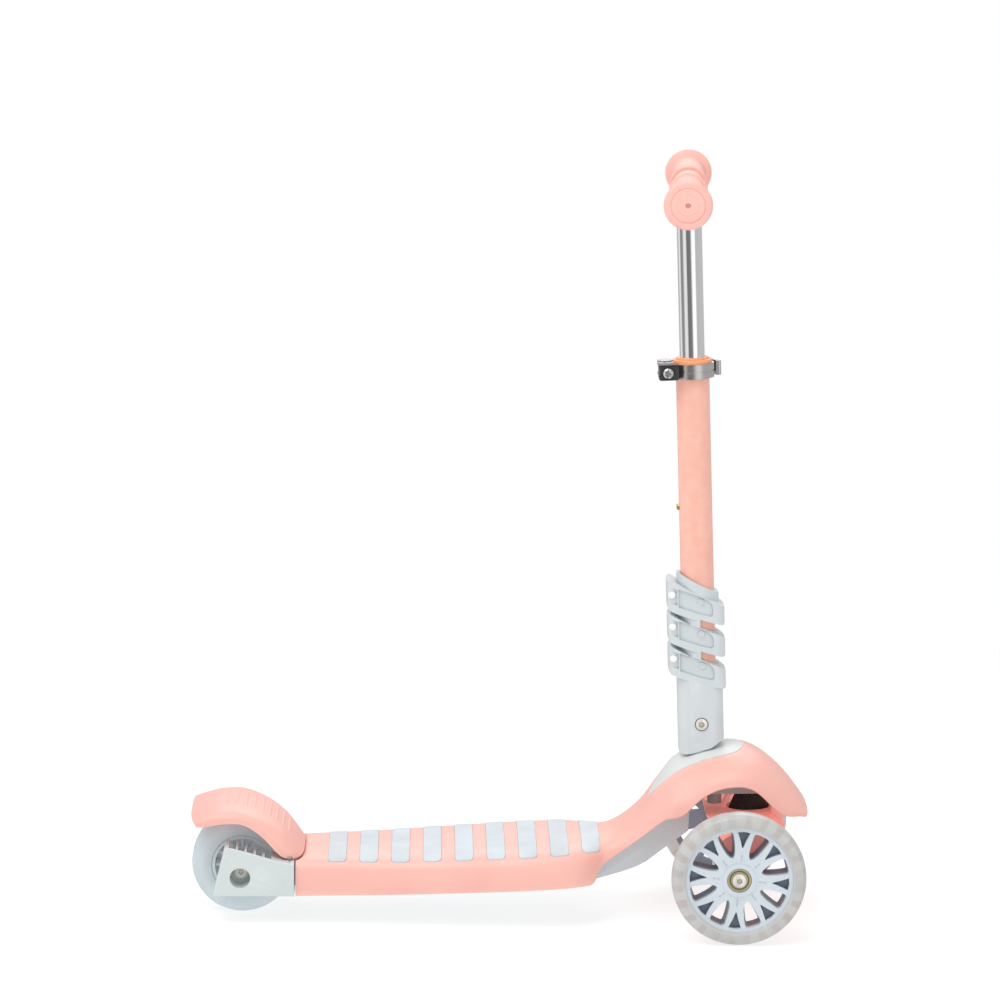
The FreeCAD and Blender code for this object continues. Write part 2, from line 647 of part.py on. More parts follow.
turned("tube_bush", [("inner_tube_r + 0.06", 0), ("tube_bore_r - 0.05", 0), ("tube_bore_r - 0.05", 33),
                     (17.6, 33), (17.6, 37.5), (14.6, 37.5), (14.6, 39), ("inner_tube_r + 0.06", 39)],
       at(COLUMN, 0, 0, size("tube_top") - 33), [(1.4, 17.6, 37.5), (0.7, 14.6, 39)])

inner_top = size("grip_axis_up") - 11.25
inner_base = part_cylinder("inner_tube_wall", "inner_tube_r", inner_top - size("inner_tube_bottom"),
                           Placement(Vector(0, 0, size("inner_tube_bottom")), UPRIGHT))
inner_tools = [part_cylinder("inner_tube_bore", "inner_tube_bore_r", 400,
                             Placement(Vector(0, 0, 300), UPRIGHT)),
               part_cylinder("inner_snap_hole", "snap_r + 0.05", 20,
                             Placement(Vector(0, 0, SNAP_HEIGHTS[0]), TO_REAR))]
part_cut("inner_tube", inner_base, inner_tools, COLUMN)

turned("tube_plug", [(0, 0), ("tube_bore_r - 0.1", 0), ("tube_bore_r - 0.1", 5), (9.6, 5), (9.6, 16), (0, 16)],
       at(COLUMN, 0, 0, size("inner_tube_bottom") - 5))
turned("snap_button", [(0, 0), (3.6, 0), (3.6, 0.5), ("snap_r", 0.5), ("snap_r", 8.8), (0, 8.8)],
       at(COLUMN, -8.4, 0, SNAP_HEIGHTS[0], TO_REAR), [(1.8, "snap_r", 8.8)])
spring_up = SNAP_HEIGHTS[0]
SPRING_SIDE = [(-8.35, spring_up - 4), (-8.35, spring_up + 6), (-7, spring_up + 9), (1, spring_up + 20),
               (8.2, spring_up + 9), (8.6, spring_up - 6), (8.0, spring_up - 6), (7.6, spring_up + 8.5),
               (1, spring_up + 18.8), (-6.5, spring_up + 8.2), (-7.75, spring_up + 5.8),
               (-7.75, spring_up - 4)]
feature("snap_spring", prism(SPRING_SIDE, 3), COLUMN)

# ---------------------------------------------------------------- quick-release clamp
CLAMP_LOW = size("collar_bottom")
CLAMP_MIDDLE = CLAMP_LOW + size("collar_height") / 2
CLAMP_BOLT_BACK = 22.7
LEVER_PIVOT_LEFT = 17.2


def collar_shape():
    high = CLAMP_LOW + size("collar_height")
    ring = cylinder("collar_r", size("collar_height"), Placement(Vector(0, 0, CLAMP_LOW), UPRIGHT))
    ears = box((-29.5, -8, CLAMP_LOW + 0.5), (-12, 8, high - 0.5))
    bore = cylinder("tube_r + 0.05", 40, Placement(Vector(0, 0, CLAMP_LOW - 10), UPRIGHT))
    slit = box((-40, -1, CLAMP_LOW - 5), (-10, 1, high + 5))
    bolt = cylinder(2.6, 60, Placement(Vector(-CLAMP_BOLT_BACK, -30, CLAMP_MIDDLE), TO_LEFT))
    groove = cylinder(21, 1.6, Placement(Vector(0, 0, CLAMP_MIDDLE - 0.8), UPRIGHT)).cut(
        cylinder(18.9, 1.6, Placement(Vector(0, 0, CLAMP_MIDDLE - 0.8), UPRIGHT)))
    rim_seat = cylinder(17.7, 6, Placement(Vector(0, 0, size("tube_top") - 0.05), UPRIGHT))
    return fused([ring, ears]).cut([bore, slit, bolt, groove, rim_seat])


feature("clamp_collar", collar_shape(), COLUMN)


def clamp_block_shape():
    block = box((-31.2, -22, CLAMP_LOW + 0.2), (-13.2, -8.1, CLAMP_LOW + 14.2))
    upright = [e for e in block.Edges if abs(e.tangentAt(e.FirstParameter).y) > 0.9]
    block = block.makeFillet(2.2, upright)
    ring = cylinder("collar_r + 0.1", 30, Placement(Vector(0, 0, CLAMP_LOW - 5), UPRIGHT))
    bolt = cylinder(2.6, 60, Placement(Vector(-CLAMP_BOLT_BACK, -30, CLAMP_MIDDLE), TO_LEFT))
    head = cylinder(5.2, 4, Placement(Vector(-CLAMP_BOLT_BACK, -24, CLAMP_MIDDLE), TO_LEFT))
    return block.cut([ring, bolt, head])


feature("clamp_block", clamp_block_shape(), COLUMN)
turned("clamp_bolt", [(0, 0), (4.9, 0), (4.9, 3), (2.5, 3), (2.5, 38.5), (0, 38.5)],
       at(COLUMN, -CLAMP_BOLT_BACK, -23, CLAMP_MIDDLE, TO_LEFT), [(1.8, 4.9, 0)])


def lever_shape():
    """Two cam cheeks round the pin and an arm that wraps the collar's far side."""
    low, high = CLAMP_LOW + 0.5, CLAMP_LOW + 13.5
    cheek = cylinder(8, high - low, Placement(Vector(-CLAMP_BOLT_BACK, LEVER_PIVOT_LEFT, low), UPRIGHT))
    arm = cylinder(25, high - low, Placement(Vector(0, 0, low), UPRIGHT)).cut(
        [cylinder(21.2, 40, Placement(Vector(0, 0, low - 10), UPRIGHT)),
         box((-40, -40, low - 5), (40, 1.5, high + 5)), box((-60, -5, low - 5), (-17, 40, high + 5))])
    tip = rounded_block(19.5, 26.5, 2.2, low, high, 1.9).translated(Vector(-0.6, 3.5, 0))
    web = box((-20, 15, low), (-12, 22, high))
    slot = cylinder(17.5, 6, Placement(Vector(-CLAMP_BOLT_BACK, LEVER_PIVOT_LEFT, CLAMP_MIDDLE - 3),
                                       UPRIGHT)).common(
        box((-60, -10, low), (-CLAMP_BOLT_BACK + 6, 60, high)))
    pin = cylinder(4.05, 40, Placement(Vector(-CLAMP_BOLT_BACK, LEVER_PIVOT_LEFT, low - 10), UPRIGHT))
    clear = cylinder(21.2, 40, Placement(Vector(0, 0, low - 10), UPRIGHT))
    return fused([cheek, arm, tip, web]).cut([slot, pin, clear])


feature("clamp_lever", lever_shape(), COLUMN)
pin_shape = cylinder(4, 12.6, Placement(Vector(-CLAMP_BOLT_BACK, LEVER_PIVOT_LEFT, CLAMP_LOW + 0.7),
                                        UPRIGHT))
pin_hole = cylinder(2.55, 30, Placement(Vector(-CLAMP_BOLT_BACK, 0, CLAMP_MIDDLE), TO_LEFT))
feature("lever_pin", pin_shape.cut(pin_hole), COLUMN)

# ---------------------------------------------------------------- handlebar
BAR = at(COLUMN, 0, 0, size("grip_axis_up"), Rotation(Vector(0, 0, 1), -size("bar_turn")))
part_cut("crossbar",
         part_cylinder("crossbar_wall", 11.1, "2 * bar_half", Placement(Vector(0, -size("bar_half"), 0), TO_LEFT)),
         [part_cylinder("crossbar_bore", 9.6, 400, Placement(Vector(0, -200, 0), TO_LEFT))], BAR)


def tee_shape():
    """The moulded cover over the joint of the tube and the crossbar."""
    across = cylinder(14.2, 2 * 26.4, Placement(Vector(0, -26.4, 0), TO_LEFT))
    down = cylinder(13.6, 18, Placement(Vector(0, 0, -18), UPRIGHT))
    bores = [cylinder(11.15, 100, Placement(Vector(0, -50, 0), TO_LEFT)),
             cylinder("inner_tube_r + 0.05", 60, Placement(Vector(0, 0, -60), UPRIGHT))]
    return fused([across, down]).cut(bores)


feature("tee_sleeve", tee_shape(), BAR)
GRIP_PROFILE = [(11.15, 0), (17.4, 0), (17.4, 3.5), ("grip_r", 3.5), ("grip_r", 102), ("grip_flange_r", 103),
                ("grip_flange_r", 107.2), (13.8, 107.2), (13.8, 108), (2.2, 108), (2.2, 104.4),
                (11.15, 104.4)]
for side, turn, hand in (("left", TO_LEFT, 1), ("right", TO_RIGHT, -1)):
    turned(side + "_grip", GRIP_PROFILE, at(BAR, 0, hand * size("grip_inner"), 0, turn),
           [(1.6, 17.4, 3.5), (1.6, 17.4, 0), (1.9, "grip_flange_r", 103), (1.9, "grip_flange_r", 107.2)])
turned_plug = [cylinder(2.15, 3, Placement(Vector(0, hand * 134.2, 0), TO_RIGHT if hand > 0 else TO_LEFT))
               for hand in (1, -1)]
feature("grip_plugs", Part.makeCompound(turned_plug), BAR)

# ---------------------------------------------------------------- lean-steer truck
HOUSING_SIDE = [(-19, 84), (-25, 97), (-3, 98), (35, 99.5), (47.5, 86), (44, 76), (22, 60),
                (-6, 52), (-18, 66)]
HOUSING_HALF = 30
SEAT = 24.2
HUB_FOOT = -10
# One arm section: distance from the middle, centre (x, z) and half sizes of its oval.
ARM_SECTIONS = [(14, 9, 78, 24, 15), (40, 9, 79, 22, 14), (68, 7.5, 79, 23.5, 17), (98, 7, 78, 26, 20)]
BOSS_R = 10.5
WHEEL_OUT = size("front_track_half")
ARM_END = 99.5


def oval(y, x, z, half_x, half_z):
    ellipse = Part.Ellipse(Vector(x, y, z), half_x, half_z)
    ellipse.Axis = Vector(0, 1, 0)
    return Part.Wire(ellipse.toShape())


def rounded_housing():
    block = prism(HOUSING_SIDE, HOUSING_HALF)
    rims = [e for e in block.Edges if abs(abs(e.CenterOfMass.y) - HOUSING_HALF) < 0.1]
    return block.makeFillet(5, rims)


def housing_shape():
    arms = [Part.makeLoft([oval(hand * y, x, z, hx, hz) for y, x, z, hx, hz in ARM_SECTIONS], True)
            for hand in (1, -1)]
    bosses = [cylinder(BOSS_R, 34, Placement(Vector(0, hand * (ARM_END - 34), size("front_wheel_r")),
                                             TO_LEFT if hand > 0 else TO_RIGHT)) for hand in (1, -1)]
    hub = cylinder(14, SEAT - HUB_FOOT, KINGPIN_IN_AXLE * Placement(Vector(0, 0, HUB_FOOT), UPRIGHT))
    rib = box((-23.4, -6, SEAT - 4), (-20, 6, 49.5), KINGPIN_IN_AXLE)
    seat = cylinder("bushing_r + 3", 60, KINGPIN_IN_AXLE * Placement(Vector(0, 0, SEAT), UPRIGHT))
    bore = cylinder("kingpin_r + 0.05", 120, KINGPIN_IN_AXLE * Placement(Vector(0, 0, -40), UPRIGHT))
    inserts = [cylinder(6.5, 20, Placement(Vector(0, hand * (ARM_END - 20), size("front_wheel_r")),
                                           TO_LEFT if hand > 0 else TO_RIGHT)) for hand in (1, -1)]
    return fused([rounded_housing()] + arms + bosses + [hub, rib]).cut([seat, bore] + inserts)


feature("truck_housing", housing_shape(), AXLE)
turned("kingpin", [(0, 0), ("kingpin_r", 0), ("kingpin_r", 102.2), (7.5, 102.2), (7.5, 107), (0, 107)],
       at(KINGPIN, 0, 0, -26), [(1.5, 7.5, 107)])
turned("kingpin_nut", [("kingpin_r + 0.02", 0), (8, 0), (8, 5.4), ("kingpin_r + 0.02", 5.4)],
       at(KINGPIN, 0, 0, -25.6), [(0.8, 8, 0)])
turned("kingpin_washer", [("kingpin_r + 0.05", 0), (9.5, 0), (9.5, 1.5), ("kingpin_r + 0.05", 1.5)],
       at(KINGPIN, 0, 0, -20))
turned("lower_bushing", [("kingpin_r + 0.05", 0), (12.5, 0), (12.5, 8), ("kingpin_r + 0.05", 8)],
       at(KINGPIN, 0, 0, -18.4), [(2, 12.5, 0), (2, 12.5, 8)])
turned("upper_bushing", [("kingpin_r + 0.05", 0), ("bushing_r", 0), ("bushing_r", 33.4),
                         ("kingpin_r + 0.05", 33.4)], at(KINGPIN, 0, 0, SEAT + 0.4))


# ---------------------------------------------------------------- wheels
def free_sketch(body, name, points, height):
    """A closed polygon on the body's X-Y plane, raised to a height."""
    sketch = body.newObject("Sketcher::SketchObject", name)
    sketch.AttachmentSupport = [(plane(body, "XY_Plane"), "")]
    sketch.MapMode = "FlatFace"
    sketch.AttachmentOffset = Placement(Vector(0, 0, height), UPRIGHT)
    corners = [Vector(x, y, 0) for x, y in points]
    count = len(corners)
    for i in range(count):
        sketch.addGeometry(Part.LineSegment(corners[i], corners[(i + 1) % count]), False)
        sketch.addConstraint(Sketcher.Constraint("Block", i))
    return sketch


def ring_of_pockets(body, name, points, height, depth, count, draft=0.0):
    """One pocket cut downwards from a height, repeated evenly round the Z axis."""
    sketch = free_sketch(body, name + "_outline", points, height)
    pocket = body.newObject("PartDesign::Pocket", name)
    pocket.Profile = sketch
    pocket.Length = depth
    pocket.TaperAngle = -draft
    body.Tip = pocket
    doc.recompute()
    pattern = body.newObject("PartDesign::PolarPattern", name + "_ring")
    pattern.Originals = [pocket]
    pattern.Axis = (sketch, ["N_Axis"])
    pattern.Angle = 360
    pattern.Occurrences = count
    body.Tip = pattern
    doc.recompute()


def mirrored(points):
    """An outline given on one side of the X axis, closed on the other side."""
    return points + [(x, -y) for x, y in reversed(points) if abs(y) > 1e-6]


SPOKES = 8
HUB_TOP = size("front_hub_w")
WEB_LOW, WEB_HIGH = 0.5, 17.0
RIM_WALL = 3.2
PETAL = mirrored([(20.5, 0), (22.5, 2.4), (27, 4.4), (33, 5.9), (39, 7.0), (42.6, 7.3), (44.2, 5.4),
                  (44.6, 0)])
WEDGE = mirrored([(29.5, 0.4), (36, 2.5), (43.6, 5.6), (44.5, 0)])
PETAL_DRAFT = 6.0
SEAT_DEPTH = 8.0


def front_hub(name, place):
    """Rim, web and boss in one moulding, with through petals and blind wedges between the spokes."""
    body = doc.addObject("PartDesign::Body", name)
    rim_in = "front_rim_r - 3.2"
    profile = [("bearing_r", 0), ("hub_boss_r", 0), ("hub_boss_r", WEB_LOW), (rim_in, WEB_LOW),
               (rim_in, 0), ("front_rim_r", 0), ("front_rim_r", HUB_TOP), (rim_in, HUB_TOP),
               (rim_in, WEB_HIGH), ("hub_boss_r", WEB_HIGH), ("hub_boss_r", HUB_TOP),
               ("bearing_r", HUB_TOP), ("bearing_r", HUB_TOP - SEAT_DEPTH), (9, HUB_TOP - SEAT_DEPTH),
               (9, SEAT_DEPTH), ("bearing_r", SEAT_DEPTH)]
    sketch = sketch_of(body, name + "_profile", profile)
    turn = body.newObject("PartDesign::Revolution", name + "_turn")
    turn.Profile = sketch
    turn.ReferenceAxis = (sketch, ["V_Axis"])
    turn.Angle = 360
    body.Tip = turn
    doc.recompute()
    half_step = math.pi / SPOKES
    turned_petal = [(x * math.cos(half_step) - y * math.sin(half_step),
                     x * math.sin(half_step) + y * math.cos(half_step)) for x, y in PETAL]
    ring_of_pockets(body, name + "_petal", turned_petal, WEB_HIGH, 20, SPOKES, PETAL_DRAFT)
    ring_of_pockets(body, name + "_wedge", WEDGE, WEB_HIGH, 6.5, SPOKES)
    body.Placement = place
    return node(body)


def bearing_profile(low):
    """Half section of a sealed ball bearing: two races with shields set in a little."""
    top = low + size("bearing_w")
    return [("bearing_bore_r", low), (6.1, low), (6.1, low + 0.4), (9.4, low + 0.4), (9.4, low),
            ("bearing_r", low), ("bearing_r", top), (9.4, top), (9.4, top - 0.4), (6.1, top - 0.4),
            (6.1, top), ("bearing_bore_r", top)]


def bearing_solid(low, place):
    """A bearing as a turned solid, used where two share one sub-part."""
    corners = [Vector(size(r), 0, size(z)) for r, z in bearing_profile(low)]
    face = Part.Face(Part.makePolygon(corners + corners[:1]))
    solid = face.revolve(Vector(0, 0, 0), Vector(0, 0, 1), 360)
    solid.Placement = place
    return solid


BEARING_LOW = (0.8, HUB_TOP - 0.8 - size("bearing_w"))
WHEEL_FRAMES = [("left", at(AXLE, 0, WHEEL_OUT, size("front_wheel_r"), TO_LEFT), 1),
                ("right", at(AXLE, 0, -WHEEL_OUT, size("front_wheel_r"), TO_RIGHT), -1)]
for side, frame, hand in WHEEL_FRAMES:
    hub_frame = at(frame, 0, 0, -HUB_TOP / 2, Rotation(Vector(0, 0, 1), -size("hub_turn")))
    turned(side + "_front_tyre",
           [("front_rim_r", 0), ("front_wheel_r", 0), ("front_wheel_r", "front_wheel_w"),
            ("front_rim_r", "front_wheel_w")], at(frame, 0, 0, -size("front_wheel_w") / 2),
           [(7, "front_wheel_r", 0), (7, "front_wheel_r", "front_wheel_w"),
            (1.2, "front_rim_r", 0), (1.2, "front_rim_r", "front_wheel_w")])
    front_hub(side + "_front_hub", hub_frame)
    feature(side + "_front_bearings",
            Part.makeCompound([bearing_solid(low, Placement()) for low in BEARING_LOW]), hub_frame)
    turned(side + "_front_spacer", [("bearing_bore_r", 0), (5.6, 0), (5.6, 2.4), ("bearing_bore_r", 2.4)],
           at(frame, 0, 0, -1.2))
    turned(side + "_axle_collar", [("axle_r + 0.05", 0), (6.4, 0), (6.4, 5), ("axle_r + 0.05", 5)],
           at(frame, 0, 0, -WHEEL_OUT + ARM_END + 0.1), [(0.8, 6.4, 5)])
    turned(side + "_axle_bolt", [(0, 0), ("axle_r", 0), ("axle_r", 41.8), (5.7, 41.8), (5.7, 45), (2.6, 45),
                                 (2.6, 42.8), (0, 42.8)], at(frame, 0, 0, -33.4), [(0.9, 5.7, 45)])
    turned(side + "_axle_insert", [("axle_r + 0.05", 0), (6.45, 0), (6.45, 19.8), ("axle_r + 0.05", 19.8)],
           at(frame, 0, 0, -WHEEL_OUT + ARM_END - 20))

REAR = at(AXLE, -size("rear_wheel_back"), 0, size("rear_wheel_r"), TO_LEFT)
turned("rear_tyre", [("rear_rim_r", 0), ("rear_wheel_r", 0), ("rear_wheel_r", "rear_wheel_w"),
                     ("rear_rim_r", "rear_wheel_w")], at(REAR, 0, 0, -size("rear_wheel_w") / 2),
       [(15, "rear_wheel_r", 0), (15, "rear_wheel_r", "rear_wheel_w"),
        (2, "rear_rim_r", 0), (2, "rear_rim_r", "rear_wheel_w")])
REAR_SPOKES = 12
REAR_HUB_HALF = 21.5


def rear_hub_shape():
    half = REAR_HUB_HALF
    rim = cylinder("rear_rim_r", 2 * half, Placement(Vector(0, 0, -half), UPRIGHT)).cut(
        cylinder(24.6, 2 * half, Placement(Vector(0, 0, -half), UPRIGHT)))
    web = cylinder(25, 8, Placement(Vector(0, 0, -4), UPRIGHT))
    boss = cylinder(14, 2 * half + 1, Placement(Vector(0, 0, -half - 0.5), UPRIGHT))
    spokes = [box((12, -1.2, -half + 2), (25.5, 1.2, half - 2),
                  Placement(Vector(), Rotation(Vector(0, 0, 1), 360 * k / REAR_SPOKES)))
              for k in range(REAR_SPOKES)]
    seats = [cylinder("bearing_r", 10, Placement(Vector(0, 0, z), UPRIGHT)) for z in (15, -25)]
    return fused([rim, web, boss] + spokes).cut(seats + [cylinder(9, 60, Placement(Vector(0, 0, -30), UPRIGHT))])


feature("rear_hub", rear_hub_shape(), REAR)
feature("rear_bearings", Part.makeCompound([bearing_solid(low, Placement()) for low in (15, -22)]), REAR)
turned("rear_spacer", [("bearing_bore_r", 0), (5.6, 0), (5.6, 29.8), ("bearing_bore_r", 29.8)],
       at(REAR, 0, 0, -14.9))
feature("rear_collars", Part.makeCompound([
    cylinder(6.6, 5.7, Placement(Vector(0, 0, z), UPRIGHT)).cut(cylinder("axle_r + 0.05", 60, Placement(
        Vector(0, 0, -30), UPRIGHT))) for z in (22.1, -27.8)]), REAR)
turned("rear_axle_bolt", [(0, 0), ("axle_r", 0), ("axle_r", 87.2), (6.6, 87.2), (6.6, 91.6), (3, 91.6),
                          (3, 89), (0, 89)],
       at(AXLE, -size("rear_wheel_back"), 45.6, size("rear_wheel_r"), TO_RIGHT), [(1, 6.6, 91.6)])
turned("rear_axle_nut", [("axle_r + 0.03", 0), (6.9, 0), (6.9, 5.5), ("axle_r + 0.03", 5.5)],
       at(AXLE, -size("rear_wheel_back"), 41.6, size("rear_wheel_r"), TO_LEFT), [(0.8, 6.9, 5.5)])

# ---------------------------------------------------------------- rear fork
ARM_SIDE = [(-469.6, 27), (-458.9, 71.6), (-455, 71.8), (-445, 69.3), (-436, 67), (-425, 63.6),
            (-413.6, 60.2), (-405, 58.2), (-396.5, 57.4), (-396.5, 27)]
ARM_IN, ARM_OUT, ARM_WALL = 28.0, 60.0, 41.5
PIVOT = Vector(-size("fender_pivot_back"), 0, size("fender_pivot_up"))
EAR = (34.0, 39.0)
LUG = (28.4, 33.6)
HINGE_R = 4.6


def across(radius, right, left, x=PIVOT.x, z=PIVOT.z):
    """A cylinder along Y between two distances from the middle plane."""
    return cylinder(radius, left - right, Placement(Vector(x, right, z), TO_LEFT))


def both(make):
    """The same tool on the left and, mirrored, on the right."""
    solid = make()
    return [solid, solid.mirror(Vector(0, 0, 0), Vector(0, 1, 0))]


def fork_arm():
    arm = slab(ARM_SIDE, ARM_IN, ARM_OUT)
    outer = [e for e in arm.Edges if abs(e.CenterOfMass.y - ARM_OUT) < 0.1 and e.CenterOfMass.x < -396]
    arm = arm.makeFillet(1.5, outer)
    slots = [box((-455 + 8.0 * k, 20, 61 - 1.9 * k), (-449.2 + 8.0 * k, 57.6, 90)) for k in range(5)]
    axle_x, axle_z = -size("rear_wheel_back"), size("rear_wheel_r")
    bores = [across("axle_r + 0.05", 20, 70, axle_x, axle_z),
             across(9.3, ARM_WALL, 70, axle_x - 0.4, axle_z - 2)]
    hinge_pocket = box((-408, LUG[0] - 1, 53.6), (-393, EAR[0] - 0.1, 80))
    ear = fused([across(HINGE_R, *EAR), box((-404, EAR[0], 50), (-397, EAR[1], PIVOT.z))])
    spring_pocket = box((-408, EAR[1] + 0.1, 55), (-393, 44.5, 80))
    pin_bore = across("fender_pin_r", 20, 60)
    return fused([arm.cut(slots + bores + [hinge_pocket, spring_pocket]), ear]).cut(pin_bore)


tongue = box((-397.5, -48, 34.5), (-372, 48, 51.2))
tongue_bores = [cylinder(1.75, 40, Placement(Vector(x, y, 20), UPRIGHT)) for x, y in COVER_SCREWS[:2]]
boss_slots = [cylinder(4.8, 40, Placement(Vector(x, y, 20), UPRIGHT)) for x, y in COVER_SCREWS[:2]]
wheel_room = cylinder("rear_wheel_r + 2.5", 60, Placement(
    Vector(-size("rear_wheel_back"), -30, size("rear_wheel_r")), TO_LEFT))
feature("rear_fork", fused(both(fork_arm) + [tongue]).cut(boss_slots + [wheel_room]), AXLE)

# ---------------------------------------------------------------- brake fender
def fender_shape():
    inside = core(FENDER, -0.6)
    lugs = both(lambda: fused([across(HINGE_R, *LUG),
                               box((-404.6, LUG[0], PIVOT.z), (-396.4, LUG[1], 90)).common(inside)]))
    bore = across("fender_pin_r + 0.05", -60, 60)
    return shell(FENDER, 0, WALL).fuse(lugs).cut(bore)


feature("brake_fender", fender_shape(), AXLE)
feature("fender_pins", Part.makeCompound(both(lambda: across("fender_pin_r", 28, 43.6))), AXLE)
feature("fender_spring", Part.makeCompound(both(lambda: fused([
    across(3.7, EAR[1] + 0.3, 43).cut(across(2.75, 0, 60)),
    box((-406.8, 39.6, 57.2), (-400, 40.8, 58.2)).cut(across(3.0, 30, 50))]))), AXLE)
PAD_IN = 50.5
pad_ring = cylinder(PAD_IN + 14, 28, Placement(Vector(-size("rear_wheel_back"), -14, size("rear_wheel_r")),
                                               TO_LEFT)).cut(
    cylinder(PAD_IN, 28, Placement(Vector(-size("rear_wheel_back"), -14, size("rear_wheel_r")), TO_LEFT)))
pad_window = box((-460.2, -20, 90), (-446, 20, 120))
feature("brake_pad", pad_ring.common(pad_window).common(core(FENDER, -WALL - 0.05, 30)), AXLE)

# ---------------------------------------------------------------- checks and files
doc.recompute()
for obj in doc.Objects:
    if "Invalid" in obj.State or "Error" in obj.State:
        raise RuntimeError("%s failed to recompute" % obj.Name)
for sub_part in NODES:
    if sub_part.Shape.isNull() or not sub_part.Shape.isValid():
        raise RuntimeError("%s has no valid shape" % sub_part.Label)
os.makedirs("parts", exist_ok=True)
for sub_part in NODES:
    sub_part.Shape.exportStep("parts/%s.step" % sub_part.Label)
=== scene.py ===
"""Looks for the kick scooter: camera, studio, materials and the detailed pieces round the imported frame."""
import json
import math

import bmesh
import bpy
from mathutils import Matrix, Vector
from mathutils.bvhtree import BVHTree


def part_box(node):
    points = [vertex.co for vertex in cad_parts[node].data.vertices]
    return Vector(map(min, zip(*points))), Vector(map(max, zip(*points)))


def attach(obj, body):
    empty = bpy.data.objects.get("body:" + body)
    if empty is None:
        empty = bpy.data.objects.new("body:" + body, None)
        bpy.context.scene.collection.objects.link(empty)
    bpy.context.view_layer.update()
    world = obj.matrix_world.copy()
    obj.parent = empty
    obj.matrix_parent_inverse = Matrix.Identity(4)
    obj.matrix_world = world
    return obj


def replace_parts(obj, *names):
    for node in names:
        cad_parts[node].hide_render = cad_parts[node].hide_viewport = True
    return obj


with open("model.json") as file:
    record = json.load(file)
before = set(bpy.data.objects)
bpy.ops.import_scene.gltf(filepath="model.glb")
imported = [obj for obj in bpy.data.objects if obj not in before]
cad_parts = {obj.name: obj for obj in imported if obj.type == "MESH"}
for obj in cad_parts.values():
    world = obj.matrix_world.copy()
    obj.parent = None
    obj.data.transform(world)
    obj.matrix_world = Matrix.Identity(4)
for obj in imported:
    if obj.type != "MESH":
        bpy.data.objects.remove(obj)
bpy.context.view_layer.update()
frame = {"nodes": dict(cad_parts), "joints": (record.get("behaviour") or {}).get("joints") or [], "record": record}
MM = 0.001
TINY = 1e-6

# ---------------------------------------------------------------- directions, and places from the model
FORE = Vector((1, 0, 0))
AXES = {"left": Vector((0, 1, 0)), "right": Vector((0, -1, 0))}
LEFT, RIGHT = AXES["left"], AXES["right"]
JOINTS = {joint["name"]: joint for joint in frame["joints"]}


def centre(node):
    """The middle of a node's box."""
    low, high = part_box(node)
    return (low + high) / 2


AXLE_X = centre("right_front_tyre").x
COLUMN_UP = Vector(JOINTS["handlebar_height"]["axis"]).normalized()
COLUMN_FORE = Vector(JOINTS["snap_button_press"]["axis"]).normalized()
KINGPIN_AT = Vector(JOINTS["lean_steer"]["pos_m"])
KINGPIN_UP = Vector(JOINTS["lean_steer"]["axis"]).normalized()


def frame_of(origin, up, fore):
    """A matrix whose Z is up and whose X is fore, at an origin."""
    up = up.normalized()
    side = up.cross(fore).normalized()
    fore = side.cross(up)
    return Matrix.Translation(origin) @ Matrix((fore, side, up)).transposed().to_4x4()


# ---------------------------------------------------------------- material helpers
def linear(colour):
    """Linear light from an 0-255 screen colour."""
    out = []
    for value in colour:
        value /= 255
        out.append(value / 12.92 if value <= 0.04045 else ((value + 0.055) / 1.055) ** 2.4)
    return (*out, 1.0)


class Nodes:
    """A short way to add and join shader nodes."""

    def __init__(self, name):
        self.material = bpy.data.materials.new(name)
        self.material.use_nodes = True
        self.tree = self.material.node_tree
        self.shader = self.tree.nodes["Principled BSDF"]
        self.coords = self.add("ShaderNodeTexCoord").outputs["Object"]

    def add(self, kind, inputs=None, **settings):
        made = self.tree.nodes.new(kind)
        for key, value in settings.items():
            setattr(made, key, value)
        for key, value in (inputs or {}).items():
            self.put(made.inputs[key], value)
        return made

    def put(self, socket, value):
        """Link a socket to another, or set its number."""
        if isinstance(value, bpy.types.NodeSocket):
            self.tree.links.new(value, socket)
        else:
            socket.default_value = value

    def math(self, operation, a, b=0.0):
        made = self.add("ShaderNodeMath", operation=operation)
        for k, value in enumerate((a, b)):
            self.put(made.inputs[k], value)
        return made.outputs[0]

    def noise(self, scale, detail, stretch=(1, 1, 1)):
        mapped = self.add("ShaderNodeMapping", {"Vector": self.coords, "Scale": stretch})
        return self.add("ShaderNodeTexNoise", {"Vector": mapped.outputs[0], "Scale": scale,
                                               "Detail": detail, "Roughness": 0.5}).outputs["Fac"]

    def ramp(self, value, low, high, out_low=0.0, out_high=1.0):
        made = self.add("ShaderNodeMapRange", {"Value": value, "From Min": low, "From Max": high,
                                               "To Min": out_low, "To Max": out_high})
        return made.outputs["Result"]

    def mix(self, factor, a, b):
        made = self.add("ShaderNodeMix", data_type="RGBA")
        self.put(made.inputs["Factor"], factor)
        self.put(made.inputs["A"], a)
        self.put(made.inputs["B"], b)
        return made.outputs["Result"]

    def bump(self, height, distance, strength=1.0):
        return self.add("ShaderNodeBump", {"Height": height, "Distance": distance,
                                           "Strength": strength}).outputs[0]

    def open_share(self, reach):
        """1 on open surfaces, less in crevices within reach, in metres."""
        return self.add("ShaderNodeAmbientOcclusion", {"Distance": reach}, samples=6).outputs["AO"]

    def set(self, **inputs):
        """Put values on the shader, an underscore standing for a space in the socket's name."""
        for key, value in inputs.items():
            self.put(self.shader.inputs[key.replace("_", " ")], value)


def scaled(colour, factor):
    """A linear colour made lighter or darker, kept within 1."""
    return (*[min(1.0, c * factor) for c in colour[:3]], 1.0)


